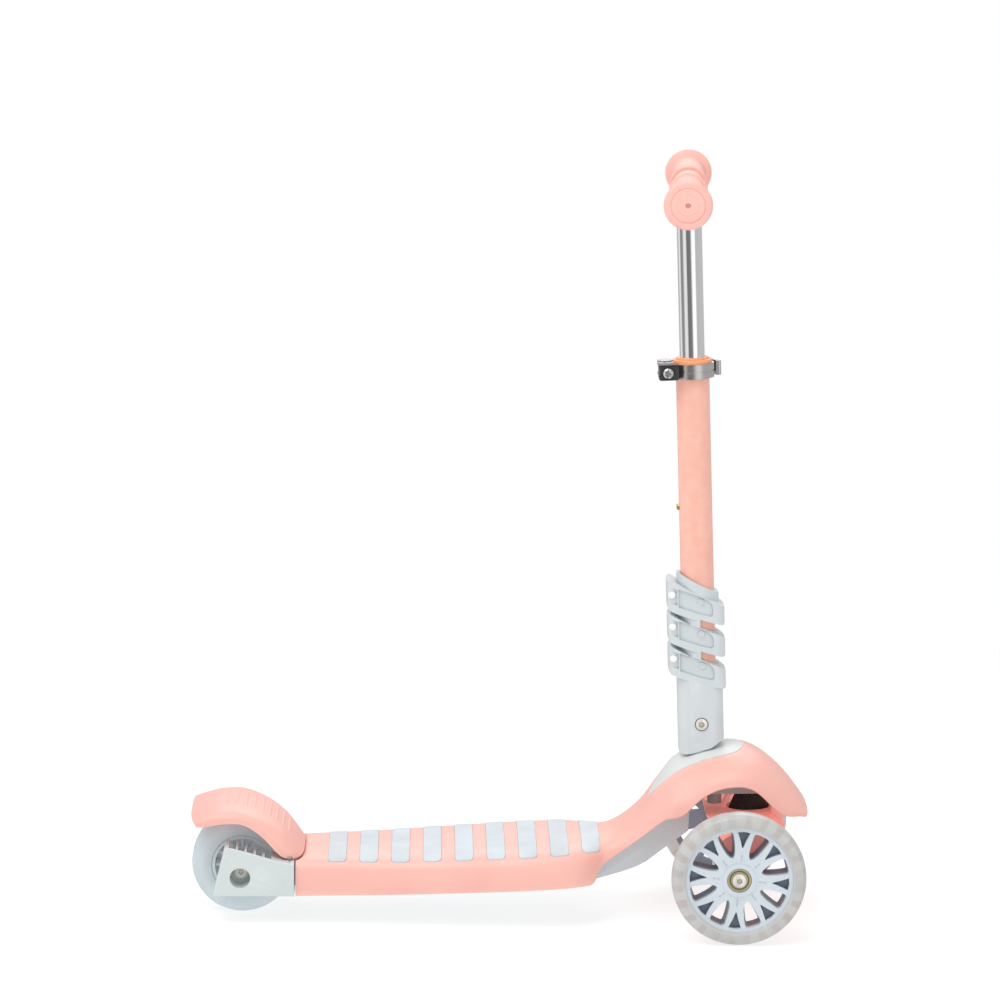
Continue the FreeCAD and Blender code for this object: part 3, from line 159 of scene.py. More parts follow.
def moulded(name, colour, rough, vary=0.05, grain=0.035, edge=0.10, coat=0.0, scale=1500, crevice_shade=0.0,
            painted_light_glow=0.0):
    """Moulded plastic: cloudy colour, paler worn edges, painted shade darkening the crevices, a fine sandblasted
    grain.
    """
    n = Nodes(name)
    base = linear(colour)
    cloud = n.ramp(n.noise(14, 4), 0.3, 0.7)
    tint = n.mix(cloud, scaled(base, 1 - vary), scaled(base, 1 + vary))
    edges = n.ramp(n.add("ShaderNodeNewGeometry").outputs["Pointiness"], 0.52, 0.60)
    worn = n.math("MULTIPLY", edges, n.ramp(n.noise(120, 3), 0.4, 0.65, 0.3, 1.0))
    pale = (*[c + (1 - c) * 0.5 for c in base[:3]], 1.0)
    tint = n.mix(n.math("MULTIPLY", worn, edge * 4), tint, pale)
    # painted shade: an occlusion node darkens the colour in crevices and seams, where shade falls
    if crevice_shade:
        tint = n.mix(n.ramp(n.open_share(3.5 * MM), 0.25, 0.8), scaled(base, 1 - crevice_shade), tint)
    n.set(Base_Color=tint)
    # painted light: an emission that lifts a part lying in shade, though the part is no lamp
    if painted_light_glow:
        n.set(Emission_Color=base, Emission_Strength=painted_light_glow)
    n.set(Roughness=n.ramp(n.noise(60, 3), 0.3, 0.7, rough - 0.05, rough + 0.06))
    n.set(Normal=n.bump(n.noise(scale, 2), grain * MM))
    n.set(Coat_Weight=coat, Coat_Roughness=0.25)
    return n.material


def metal(name, colour, rough, brush=(1, 1, 1), scale=400, bump=0.02, vary=0.12, metallic=1.0,
          painted_light_glow=0.0, crevice_shade=0.0):
    """Bare metal with fine machining or brushing along one direction."""
    n = Nodes(name)
    base = linear(colour)
    # painted light: an emission that lifts a part lying in shade, though the part is no lamp
    if painted_light_glow:
        n.set(Emission_Color=base, Emission_Strength=painted_light_glow)
    streak = n.noise(scale, 3, brush)
    tint = n.mix(streak, scaled(base, 1 - vary), scaled(base, 1 + vary))
    # painted shade: an occlusion node darkens the colour in crevices and recesses, where shade falls
    if crevice_shade:
        tint = n.mix(n.ramp(n.open_share(2.5 * MM), 0.3, 0.85), scaled(base, 1 - crevice_shade), tint)
    n.set(Base_Color=tint, Metallic=metallic)
    n.set(Roughness=n.ramp(streak, 0.3, 0.7, rough * 0.8, rough * 1.25))
    n.set(Normal=n.bump(streak, bump * MM, 0.6))
    return n.material


def rubber(name, colour, rough, vary=0.08, grain=0.08, painted_light_glow=0.0):
    """Soft rubber: slightly uneven colour and sheen over a fine grain."""
    n = Nodes(name)
    base = linear(colour)
    # painted light: an emission that lifts a part lying in shade, though the part is no lamp
    if painted_light_glow:
        n.set(Emission_Color=base, Emission_Strength=painted_light_glow)
    n.set(Base_Color=n.mix(n.ramp(n.noise(25, 4), 0.3, 0.7), scaled(base, 1 - vary), scaled(base, 1 + vary)))
    n.set(Roughness=n.ramp(n.noise(90, 2), 0.3, 0.7, rough - 0.08, rough + 0.08))
    n.set(Normal=n.bump(n.noise(900, 3), grain * MM))
    return n.material


CORAL = (253, 190, 178)
# the emission on the truck, rear hub, grey tyre, screws and plugs is painted light that brightens them where they
# lie in shade
MATERIALS = {
    # crevice_shade is painted shade, the colour darkened in crevices by an occlusion node
    "coral_shell": moulded("coral_shell", CORAL, 0.40, crevice_shade=0.3),
    "coral_paint": moulded("coral_paint", (253, 184, 163), 0.36, vary=0.03, grain=0.02, edge=0.06, coat=0.2,
                           scale=900, crevice_shade=0.35),
    "coral_truck": moulded("coral_truck", (253, 162, 150), 0.5, painted_light_glow=0.22),
    "coral_grip": rubber("coral_grip", (252, 189, 178), 0.62),
    "pad_grey": rubber("pad_grey", (209, 217, 223), 0.6),
    "trim_white": moulded("trim_white", (223, 227, 225), 0.4, crevice_shade=0.2),
    "cover_grey": moulded("cover_grey", (198, 206, 209), 0.5),
    "socket_white": moulded("socket_white", (211, 219, 222), 0.38, crevice_shade=0.3),
    "fork_grey": moulded("fork_grey", (213, 221, 221), 0.42, crevice_shade=0.25),
    "hub_blue": moulded("hub_blue", (200, 212, 222), 0.36),
    "rear_hub_grey": moulded("rear_hub_grey", (206, 213, 218), 0.45, crevice_shade=0.6, painted_light_glow=0.12),
    "tyre_milky": moulded("tyre_milky", (222, 224, 224), 0.32),
    "tyre_grey": rubber("tyre_grey", (192, 203, 208), 0.32, vary=0.05, grain=0.03, painted_light_glow=0.16),
    "bearing_steel": metal("bearing_steel", (190, 190, 182), 0.3),
    "screw_steel": metal("screw_steel", (230, 227, 218), 0.3, bump=0.002, vary=0.02, metallic=0.4, painted_light_glow=0.1,
                         crevice_shade=0.75),
    "bracket_alloy": moulded("bracket_alloy", (168, 173, 174), 0.5),
    "collar_alloy": metal("collar_alloy", (206, 202, 202), 0.3, brush=(1, 1, 12)),
    "chrome_tube": metal("chrome_tube", (240, 240, 242), 0.12, brush=(1, 1, 0.02), scale=600, bump=0.004,
                         vary=0.04),
    "bright_bolt": metal("bright_bolt", (220, 220, 222), 0.16),
    "snap_brass": metal("snap_brass", (214, 186, 120), 0.3),
    "spring_steel": metal("spring_steel", (150, 150, 152), 0.35),
    "bar_steel": moulded("bar_steel", (130, 132, 134), 0.45),
    "black_plastic": moulded("black_plastic", (34, 34, 36), 0.4),
    "bush_coral": moulded("bush_coral", (255, 172, 120), 0.4),
    "black_rubber": rubber("black_rubber", (30, 28, 28), 0.5),
    "plug_dark": moulded("plug_dark", (200, 132, 130), 0.5, painted_light_glow=0.15),
}
SLOT_OF = {part["node"]: part["material_slot"] for part in frame["record"]["subparts"]}
for node, obj in frame["nodes"].items():
    obj.data.materials.clear()
    obj.data.materials.append(MATERIALS[SLOT_OF[node]])


# ---------------------------------------------------------------- studio and camera
# What shiny parts reflect: (direction, brightness), the direction in degrees from the scooter's right (-Y)
# round to its front (+X).
STUDIO_BANDS = [(-180, 0.55), (-132, 0.6), (-124, 0.98), (-106, 0.95), (-100, 0.32), (-70, 0.35), (-64, 0.98),
                (-38, 0.95), (-32, 0.20), (8, 0.24), (18, 1.0), (42, 0.98), (52, 0.6), (110, 0.65),
                (180, 0.55)]
DIFFUSE_LEVEL = 0.60
GLOSSY_LEVEL = 0.9
# name, place, size, power in watts
LAMPS = [("key", (-0.9, -1.1, 3.0), 2.4, 56), ("front_fill", (1.4, -2.8, 1.0), 2.4, 6),
         ("back_fill", (0.4, 2.4, 2.2), 2.4, 27)]
LAMPS_AIM = Vector((0, 0, 0.25))
FLOOR_HALF = 30
FLOOR_TONES = [(0.36, 0.36, 0.36, 1), (0.38, 0.38, 0.38, 1)]
FLOOR_GLOW = 0.68
# distances from the middle, in metres, where the floor starts to fade and where it is white
FLOOR_CLEAR, FLOOR_WHITE = 0.45, 1.3


def surroundings():
    """White surroundings, with darker and lighter bands for shiny parts to reflect."""
    world = bpy.data.worlds.new("studio")
    bpy.context.scene.world = world
    world.use_nodes = True
    tree = world.node_tree
    tree.nodes.clear()

    def add(kind, **settings):
        made = tree.nodes.new(kind)
        for key, value in settings.items():
            setattr(made, key, value)
        return made

    out, path = add("ShaderNodeOutputWorld"), add("ShaderNodeLightPath")
    split = add("ShaderNodeSeparateXYZ")
    tree.links.new(add("ShaderNodeTexCoord").outputs["Generated"], split.inputs[0])
    flip = add("ShaderNodeMath", operation="MULTIPLY")
    flip.inputs[1].default_value = -1.0
    tree.links.new(split.outputs["Y"], flip.inputs[0])
    turn = add("ShaderNodeMath", operation="ARCTAN2")
    tree.links.new(split.outputs["X"], turn.inputs[0])
    tree.links.new(flip.outputs[0], turn.inputs[1])
    share = add("ShaderNodeMapRange")
    share.inputs["From Min"].default_value = -math.pi
    share.inputs["From Max"].default_value = math.pi
    tree.links.new(turn.outputs[0], share.inputs["Value"])
    ramp = add("ShaderNodeValToRGB")
    elements = ramp.color_ramp.elements
    while len(elements) > 1:
        elements.remove(elements[-1])
    for k, (degrees, value) in enumerate(STUDIO_BANDS):
        element = elements[0] if k == 0 else elements.new((degrees + 180) / 360)
        element.position = (degrees + 180) / 360
        element.color = (value, value, value, 1)
    tree.links.new(share.outputs[0], ramp.inputs[0])
    levels = []
    for level in (DIFFUSE_LEVEL, GLOSSY_LEVEL, 1.0):
        background = add("ShaderNodeBackground")
        background.inputs["Color"].default_value = (1, 1, 1, 1)
        background.inputs["Strength"].default_value = level
        levels.append(background)
    tree.links.new(ramp.outputs[0], levels[1].inputs["Color"])
    glossy, seen = add("ShaderNodeMixShader"), add("ShaderNodeMixShader")
    for mixer, ray, first, second in ((glossy, "Is Glossy Ray", levels[0], levels[1]),
                                      (seen, "Is Camera Ray", glossy, levels[2])):
        tree.links.new(path.outputs[ray], mixer.inputs[0])
        tree.links.new(first.outputs[0], mixer.inputs[1])
        tree.links.new(second.outputs[0], mixer.inputs[2])
    tree.links.new(seen.outputs[0], out.inputs[0])


def lamps():
    """Broad soft lamps, aimed at the scooter."""
    for name, place, size, power in LAMPS:
        data = bpy.data.lights.new(name, "AREA")
        data.size, data.energy = size, power
        lamp = bpy.data.objects.new(name, data)
        lamp.location = place
        aim = LAMPS_AIM - Vector(place)
        lamp.rotation_euler = aim.to_track_quat("-Z", "Y").to_euler()
        bpy.context.scene.collection.objects.link(lamp)


def paper_floor():
    """A pale floor that fades to white away from the scooter."""
    mesh = bpy.data.meshes.new("floor")
    half = FLOOR_HALF
    mesh.from_pydata([(-half, -half, 0), (half, -half, 0), (half, half, 0), (-half, half, 0)],
                     [], [(0, 1, 2, 3)])
    floor = bpy.data.objects.new("floor", mesh)
    bpy.context.scene.collection.objects.link(floor)
    floor.visible_glossy = False
    n = Nodes("floor_paper")
    tone = n.mix(n.ramp(n.noise(3, 2), 0.3, 0.7), *FLOOR_TONES)
    n.set(Base_Color=tone, Roughness=0.9, Emission_Color=(1, 1, 1, 1), Emission_Strength=FLOOR_GLOW)
    away = n.add("ShaderNodeVectorMath", {"Vector": n.coords}, operation="LENGTH").outputs["Value"]
    white = n.add("ShaderNodeEmission", {"Strength": 1.0})
    fade = n.add("ShaderNodeMixShader", {"Fac": n.ramp(away, FLOOR_CLEAR, FLOOR_WHITE)})
    n.tree.links.new(n.shader.outputs[0], fade.inputs[1])
    n.tree.links.new(white.outputs[0], fade.inputs[2])
    n.tree.links.new(fade.outputs[0], n.tree.nodes["Material Output"].inputs["Surface"])
    floor.data.materials.append(n.material)


# pitch down, yaw and roll in degrees; the lens in millimetres; its place from the front axle in metres
CAMERA_ANGLES = (10.23, 0.97, 0.44)
CAMERA_LENS = 160.99
CAMERA_FROM_AXLE = (-0.27989, -3.95886, 1.09444)


def camera():
    """Side view from the scooter's right, a little from above, through a long lens."""
    pitch, yaw, roll = (math.radians(angle) for angle in CAMERA_ANGLES)
    fore = Vector((math.sin(yaw) * math.cos(pitch), math.cos(yaw) * math.cos(pitch), -math.sin(pitch)))
    right = fore.cross(Vector((0, 0, 1))).normalized()
    up = right.cross(fore)
    tilt_right = math.cos(roll) * right + math.sin(roll) * up
    tilt_up = math.cos(roll) * up - math.sin(roll) * right
    data = bpy.data.cameras.new("camera")
    data.sensor_width = 36
    data.lens = CAMERA_LENS
    data.clip_end = 100
    made = bpy.data.objects.new("camera", data)
    ahead, left, above = CAMERA_FROM_AXLE
    place = Vector((AXLE_X + ahead, left, above))
    made.matrix_world = Matrix.Translation(place) @ Matrix((tilt_right, tilt_up, -fore)).transposed().to_4x4()
    bpy.context.scene.collection.objects.link(made)
    bpy.context.scene.camera = made


bpy.context.scene.view_settings.view_transform = "Standard"
bpy.context.scene.view_settings.look = "None"
surroundings()
lamps()
paper_floor()
camera()


# ---------------------------------------------------------------- mesh helpers
def piece(name, mesh, body, slot, material=None, sharp=32):
    """A finished mesh as a piece that rides on a body."""
    leftover = mesh.attributes.get("custom_normal")
    if leftover is not None:
        mesh.attributes.remove(leftover)
    for polygon in mesh.polygons:
        polygon.use_smooth = True
    mesh.set_sharp_from_angle(angle=math.radians(sharp))
    made = bpy.data.objects.new(name, mesh)
    bpy.context.scene.collection.objects.link(made)
    mesh.materials.clear()
    mesh.materials.append(material or MATERIALS[slot])
    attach(made, body)
    return made


BODY_OF = {node: body for body, nodes in frame["record"]["behaviour"]["bodies"].items() for node in nodes}


def rounded(node, width, segments, angle, material=None):
    """A copy of a CAD node with its sharp edges rounded, standing for the node."""
    bm = bmesh.new()
    bm.from_mesh(frame["nodes"][node].data)
    bmesh.ops.remove_doubles(bm, verts=bm.verts, dist=TINY)
    bmesh.ops.dissolve_limit(bm, angle_limit=math.radians(0.8), verts=bm.verts, edges=bm.edges)
    mesh = bpy.data.meshes.new(node + "_rounded")
    bm.to_mesh(mesh)
    bm.free()
    made = piece(node + "_rounded", mesh, BODY_OF[node], SLOT_OF[node], material)
    bevel = made.modifiers.new("rounding", "BEVEL")
    bevel.width = width * MM
    bevel.segments = segments
    bevel.limit_method = "ANGLE"
    bevel.angle_limit = math.radians(angle)
    bevel.harden_normals = True
    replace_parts(made, node)
    return made


FILLET_STEPS = 5


def filleted(corners):
    """(r, z) points with corners (r, z, radius) turned into arcs."""
    out = []
    count = len(corners)
    for k, corner in enumerate(corners):
        radius = corner[2] if len(corner) > 2 else 0
        here = Vector(corner[:2])
        if not radius:
            out.append(here)
            continue
        before = (Vector(corners[k - 1][:2]) - here)
        after = (Vector(corners[(k + 1) % count][:2]) - here)
        half = before.angle(after) / 2
        reach = min(radius / math.tan(half), before.length * 0.49, after.length * 0.49)
        start, end = here + before.normalized() * reach, here + after.normalized() * reach
        for i in range(FILLET_STEPS + 1):
            t = i / FILLET_STEPS
            out.append((1 - t) ** 2 * start + 2 * t * (1 - t) * here + t * t * end)
    return out


def lathe(corners, place, steps, shape=None):
    """A mesh from an (r, z) profile in millimetres spun round Z. shape(index, r, z, turn) gives a new r."""
    profile = filleted(corners)
    bm = bmesh.new()
    rings = []
    for index, (r, z) in enumerate(profile):
        if r < TINY:
            rings.append([bm.verts.new(place @ Vector((0, 0, z * MM)))])
            continue
        ring = []
        for k in range(steps):
            turn = 2 * math.pi * k / steps
            reach = shape(index, r, z, turn) if shape else r
            ring.append(bm.verts.new(place @ Vector((reach * math.cos(turn) * MM,
                                                     reach * math.sin(turn) * MM, z * MM))))
        rings.append(ring)
    pairs = list(zip(rings, rings[1:]))
    if len(rings[0]) > 1 and len(rings[-1]) > 1:
        pairs.append((rings[-1], rings[0]))
    for a, b in pairs:
        for k in range(steps):
            j = (k + 1) % steps
            if len(a) == 1 and len(b) == 1:
                continue
            if len(a) == 1:
                bm.faces.new((a[0], b[k], b[j]))
            elif len(b) == 1:
                bm.faces.new((a[k], a[j], b[0]))
            else:
                bm.faces.new((a[k], a[j], b[j], b[k]))
    bmesh.ops.recalc_face_normals(bm, faces=bm.faces)
    mesh = bpy.data.meshes.new("lathed")
    bm.to_mesh(mesh)
    bm.free()
    return mesh


def hexagon(flat, turn):
    """Distance to a hexagon's side, flat to centre given, at a turn."""
    return flat / math.cos((turn + math.pi / 6) % (math.pi / 3) - math.pi / 6)


def crossed(arm, half, turn):
    """Distance to the outline of a cross recess."""
    off = abs((turn + math.pi / 4) % (math.pi / 2) - math.pi / 4)
    return min(arm, half / max(math.sin(off), TINY))


# ---------------------------------------------------------------- materials of single pieces
def wheel_coords(n, middle):
    """Turn (0 to 1), radius and depth of a point on a wheel, in shader nodes."""
    split = n.add("ShaderNodeSeparateXYZ", {"Vector": n.coords})
    dx = n.math("SUBTRACT", split.outputs["X"], middle.x)
    dz = n.math("SUBTRACT", split.outputs["Z"], middle.z)
    turn = n.math("ADD", n.math("DIVIDE", n.math("ARCTAN2", dz, dx), 2 * math.pi), 1.0)
    radius = n.math("SQRT", n.math("ADD", n.math("MULTIPLY", dx, dx), n.math("MULTIPLY", dz, dz)))
    depth = n.math("SUBTRACT", n.math("ABSOLUTE", split.outputs["Y"]), abs(middle.y))
    return turn, radius, depth


def window(n, value, low, high, soft):
    """1 between low and high, falling to 0 over soft."""
    rise = n.ramp(value, low - soft, low + soft)
    fall = n.ramp(value, high - soft, high + soft, 1, 0)
    return n.math("MULTIPLY", rise, fall)


# blocks of the core seen through the clear tyre, once round
BLOCKS = 24


def milky_tyre(name, middle):
    """Clear-cast urethane, cloudy, with the faint blocks of the core showing through."""
    n = Nodes(name)
    turn, radius, _ = wheel_coords(n, middle)
    share = n.math("FRACT", n.math("MULTIPLY", turn, BLOCKS))
    wobble = n.math("MULTIPLY", n.math("SUBTRACT", n.noise(50, 2), 0.5), 0.35)
    blocks = n.math("MULTIPLY", window(n, n.math("ADD", share, wobble), 0.28, 0.74, 0.06),
                    window(n, radius, 50.0 * MM, 60.5 * MM, 1.0 * MM))
    patchy = n.math("MULTIPLY", blocks, n.ramp(n.noise(35, 1), 0.35, 0.65, 0.35, 1.0))
    clouds = n.mix(n.ramp(n.noise(45, 4), 0.3, 0.7), linear((192, 192, 189)), linear((204, 204, 203)))
    n.set(Base_Color=n.mix(n.math("MULTIPLY", patchy, 0.6), clouds, linear((184, 172, 166))))
    n.set(Roughness=n.ramp(n.noise(80, 3), 0.3, 0.7, 0.25, 0.42), Coat_Weight=0.25, Coat_Roughness=0.2)
    n.set(Normal=n.bump(n.noise(500, 3), 0.03 * MM))
    return n.material


def deep_hub(name, middle, colour, dark, start, end):
    """Moulded plastic with painted shade in its pockets, darker with their depth below the outer face."""
    n = Nodes(name)
    _, _, depth = wheel_coords(n, middle)
    base = linear(colour)
    face = n.mix(n.ramp(n.noise(30, 3), 0.3, 0.7), scaled(base, 0.96), scaled(base, 1.03))
    # painted shade: the colour goes to the dark colour deeper in the pockets
    n.set(Base_Color=n.mix(n.ramp(depth, start * MM, end * MM, 1, 0), face, linear(dark)))
    n.set(Roughness=n.ramp(n.noise(90, 2), 0.3, 0.7, 0.3, 0.42))
    n.set(Normal=n.bump(n.noise(1400, 2), 0.02 * MM))
    return n.material


# ---------------------------------------------------------------- front wheels
for side, out in AXES.items():
    wheel = side + "_front_wheel"
    middle = centre(side + "_front_tyre")
    place = frame_of(middle, out, FORE)
    tyre = piece(side + "_tyre_cast", lathe(
        [(48.0, -11.2, 0.8), (49.6, -12), (54.0, -11.9), (57.6, -10.4, 3), (59.6, -6.5, 4), (60, 0, 14),
         (59.6, 6.5, 4), (57.6, 10.4, 3), (54.0, 11.9), (49.6, 12), (48.0, 11.2, 0.8)],
        place, 144), wheel, "tyre_milky", milky_tyre(side + "_tyre_cast", middle), 50)
    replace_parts(tyre, side + "_front_tyre")
    # the hubs' pockets get painted shade, going dark from 2.2 to 6.8 mm below the outer face
    rounded(side + "_front_hub", 0.45, 2, 40,
            deep_hub(side + "_hub_moulded", middle, (214, 223, 230), (128, 140, 154), 2.2, 6.8))

# ---------------------------------------------------------------- bushing between truck and deck
BUSHING_RIBS, BUSHING_RIB_DEPTH, BUSHING_RIB_ENDS = 34, 0.75, (1.5, 32)
BUSHING_ALONG, BUSHING_BORE, BUSHING_TALL = 24.6, 5.06, 33.4


def ribbed(index, r, z, turn):
    """Upright ribs round the rubber, flattened at both ends; the bore stays round."""
    low, high = BUSHING_RIB_ENDS
    if r <= BUSHING_BORE or not low < z < high:
        return r
    return r - BUSHING_RIB_DEPTH * (0.5 + 0.5 * math.cos(turn * BUSHING_RIBS)) ** 2


bushing = piece("bushing_ribbed", lathe(
    [(BUSHING_BORE, 0), (15.4, 0, 0.6), (16.2, 1.2), (16.5, 2.2), (16.5, 12), (16.5, 22), (16.5, 31),
     (16.2, 32.2), (15.4, BUSHING_TALL, 0.6), (BUSHING_BORE, BUSHING_TALL)],
    frame_of(KINGPIN_AT + KINGPIN_UP * BUSHING_ALONG * MM, KINGPIN_UP, LEFT), BUSHING_RIBS * 8, ribbed),
    "frame", "black_rubber", sharp=60)
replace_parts(bushing, "upper_bushing")

# ---------------------------------------------------------------- grips
def balance(node):
    """The area centre of a node's surface; on its axis when the node is turned."""
    faces = frame["nodes"][node].data.polygons
    whole = sum(face.area for face in faces)
    return sum((face.center * (face.area / whole) for face in faces), Vector())


GRIP_START = 27
bar_middle = (balance("left_grip") + balance("right_grip")) / 2
for side in AXES:
    out = (balance(side + "_grip") - bar_middle).normalized()
    inner = bar_middle + out * GRIP_START * MM
    grip = piece(side + "_grip_soft", lathe(
        [(11.15, 0), (16.6, 0, 0.8), (17.4, 1.2, 0.8), (17.2, 3.2, 0.8), (15.1, 4.2, 0.6), (14.5, 6.0),
         (14.35, 20), (14.5, 52), (14.5, 80), (14.7, 97), (15.6, 100.5, 1.5), (19.4, 102.6, 1),
         (21.3, 104.0, 1.2), (21.3, 106.2, 1.2), (19.6, 107.4, 0.5), (15.4, 107.6, 0.2), (14.9, 106.9, 0.2),
         (14.3, 107.9, 0.3), (9.6, 108.0, 0.1), (9.3, 107.7, 0.1), (9.0, 108.0, 0.1), (2.6, 108.0, 0.3),
         (2.2, 107.4), (2.2, 104.4), (11.15, 104.4)],
        frame_of(inner, out, FORE), 96), "handlebar", "coral_grip", sharp=40)
    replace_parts(grip, side + "_grip")

# ---------------------------------------------------------------- rounded plastic and metal parts
rounded("deck_pads", 0.9, 3, 30)
rounded("steering_socket", 0.6, 2, 35)
rounded("rear_fork", 0.7, 2, 35)
rounded("clamp_block", 0.8, 3, 35)
rounded("clamp_collar", 0.5, 2, 35)
rounded("clamp_lever", 0.6, 3, 35)

# ---------------------------------------------------------------- bolts, screws, nuts and bearings
COLUMN_BEHIND = 22.53
COLUMN = frame_of(Vector((AXLE_X - COLUMN_BEHIND * MM, 0, 0)), COLUMN_UP, COLUMN_FORE)
# heights up the column of the claw's three pairs of rivets
CLAW_UPS = (293.6, 264.25, 234.9)
METAL_SHARP = 28
# radii: bolts of 8 mm, and the bores of nuts for 8 and 10 mm
SHANK_8, BORE_8, BORE_10 = 4.0, 4.03, 5.03
SOCKET_BOLT_UP, CLAMP_BOLT_UP = 178, 500
KINGPIN_NUT_BELOW = 25.6
REAR_HEAD, REAR_NUT_SEAT = 4.4, 41.6
FRONT_SEAT = 8.3


def on_column(x, y, z):
    """A point given in millimetres in the column's frame."""
    return COLUMN @ Vector((x * MM, y * MM, z * MM))


def joined(*meshes):
    """One mesh from several."""
    bm = bmesh.new()
    for mesh in meshes:
        bm.from_mesh(mesh)
    made = bpy.data.meshes.new("joined")
    bm.to_mesh(made)
    bm.free()
    return made


def head_mesh(place, radius, height, recess, size, depth, shank, shank_r=SHANK_8):
    """A bolt with a domed head and a hexagon or cross recess, the head's seat at the place's origin."""
    corners = [(0, height - depth), (size * 0.98, height - depth), (size, height * 0.99),
               (max(radius * 0.66, size + 0.3), height * 0.95), (radius * 0.93, height * 0.66),
               (radius, height * 0.25), (radius, 0), (shank_r, 0), (shank_r, -shank), (0, -shank)]

    def shape(index, r, z, turn):
        if index in (1, 2):
            return hexagon(r, turn) if recess == "hex" else crossed(r, r * 0.3, turn)
        return r

    return lathe(corners, place, 72, shape)


def nut_mesh(place, flat, height, bore):
    """A hexagon nut with its corners turned off."""
    corners = [(bore, 0), (flat * 0.97, 0), (flat, 0.5), (flat, height - 0.6), (flat * 0.95, height),
               (bore + 0.3, height), (bore, height - 0.3)]

    def shape(index, r, z, turn):
        return hexagon(r, turn) if index in (2, 3) else r

    return lathe(corners, place, 72, shape)


rear_low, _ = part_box("rear_axle_bolt")
rear_middle = centre("rear_tyre")
FASTENERS = [
    # piece, node it stands for, slot, mesh
    ("rear_axle_screw", "rear_axle_bolt", "screw_steel", head_mesh(
        frame_of(Vector((rear_middle.x, rear_low.y + REAR_HEAD * MM, rear_middle.z)), RIGHT, FORE),
        6.7, REAR_HEAD, "hex", 2.4, 2.0, shank=86)),
    ("rear_axle_hex", "rear_axle_nut", "screw_steel", nut_mesh(
        frame_of(Vector((rear_middle.x, REAR_NUT_SEAT * MM, rear_middle.z)), LEFT, FORE), 6.6, 5.5, BORE_8)),
    ("socket_screw", "socket_bolt", "screw_steel", head_mesh(
        frame_of(on_column(0, -17.5, SOCKET_BOLT_UP), RIGHT, FORE), 5.6, 3.2, "hex", 2.4, 1.8, shank=37)),
    ("socket_hex", "socket_nut", "screw_steel", nut_mesh(
        frame_of(on_column(0, 17.6, SOCKET_BOLT_UP), LEFT, FORE), 5.5, 3.2, BORE_8)),
    ("clamp_screw", "clamp_bolt", "bright_bolt", head_mesh(
        frame_of(on_column(-22.7, -20, CLAMP_BOLT_UP), RIGHT, FORE), 4.9, 3.0, "cross", 2.9, 1.2,
        shank=35, shank_r=2.5)),
    ("kingpin_hex", "kingpin_nut", "screw_steel", nut_mesh(
        frame_of(KINGPIN_AT - KINGPIN_UP * KINGPIN_NUT_BELOW * MM, KINGPIN_UP, LEFT), 7.3, 5.4, BORE_10)),
]
for side, out in AXES.items():
    middle = centre(side + "_front_tyre")
    bolt = piece(side + "_axle_screw", head_mesh(
        frame_of(middle + out * FRONT_SEAT * MM, out, FORE), 6.3, 3.6, "hex", 2.3, 1.9, shank=41),
        "truck", "screw_steel", sharp=METAL_SHARP)
    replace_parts(bolt, side + "_axle_bolt")
for name, node, slot, mesh in FASTENERS:
    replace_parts(piece(name, mesh, "frame", slot, sharp=METAL_SHARP), node)

rivets, discs = [], []
for up in CLAW_UPS:
    for side, out in AXES.items():
        rivets.append(lathe([(0, 0), (3.26, 0), (3.26, 7.6), (3.0, 8.2), (2.4, 8.5), (0, 8.6)],
                            frame_of(on_column(-23.9, out.y * 9.8, up + 4.2), out, COLUMN_FORE), 40))
        discs.append(lathe([(0, 0), (3.1, 0), (3.1, 0.5), (2.8, 0.8), (2.2, 0.8), (2.0, 0.45), (0, 0.4)],
                           frame_of(on_column(1.6, out.y * 17.2, up - 3.2), out, COLUMN_FORE), 40))
piece("claw_rivets", joined(*rivets), "frame", "trim_white",
      moulded("rivet_white", (252, 252, 252), 0.35, vary=0.01, grain=0.01), 35)
bosses = piece("claw_bosses", joined(*discs), "frame", "socket_white", sharp=25)
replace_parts(bosses, "claw_screws")


BEARING_WIDTH = 7.0
# where a wheel's two bearings start, from the tyre's middle: outward in front, to the left at the rear
FRONT_SEATS, REAR_SEATS = (-8.2, 1.2), (15, -22)


def bearing_mesh(place):
    """A sealed bearing: outer race, sunk shield, inner race."""
    wide = BEARING_WIDTH
    return lathe([(4.06, 0), (6.0, 0), (6.2, 0.35), (9.3, 0.45), (9.5, 0), (10.7, 0), (11, 0.3),
                  (11, wide - 0.3), (10.7, wide), (9.5, wide), (9.3, wide - 0.45), (6.2, wide - 0.35),
                  (6.0, wide), (4.06, wide)], place, 96)


def races_of(name, middle):
    """Yellow zinc races with painted shade: a dark ring across the shield between them, a dark outer edge and a
    dark ring round the bore.
    """
    n = Nodes(name)
    _, radius, _ = wheel_coords(n, middle)
    bright = n.mix(n.noise(60, 2), linear((196, 188, 150)), linear((214, 208, 178)))
    shield = window(n, radius, 7.6 * MM, 8.8 * MM, 0.25 * MM)
    edge = n.ramp(radius, 10.3 * MM, 10.8 * MM)
    inner = n.ramp(radius, 6.2 * MM, 6.6 * MM, 1, 0)
    # painted shade in the gap across the shield, at the rounded outer edge and round the bore
    dark = n.math("MAXIMUM", shield, n.math("MAXIMUM", edge, inner))
    n.set(Base_Color=n.mix(dark, bright, linear((118, 104, 72))), Metallic=0.4, Roughness=0.3)
    return n.material


def bearings(name, wheel, middle, out, seats):
    """Both bearings of a wheel as one piece."""
    races = joined(*[bearing_mesh(frame_of(middle + out * seat * MM, out, FORE)) for seat in seats])
    return piece(name + "_bearings_sealed", races, wheel, "bearing_steel",
                 races_of(name + "_races", middle), METAL_SHARP)


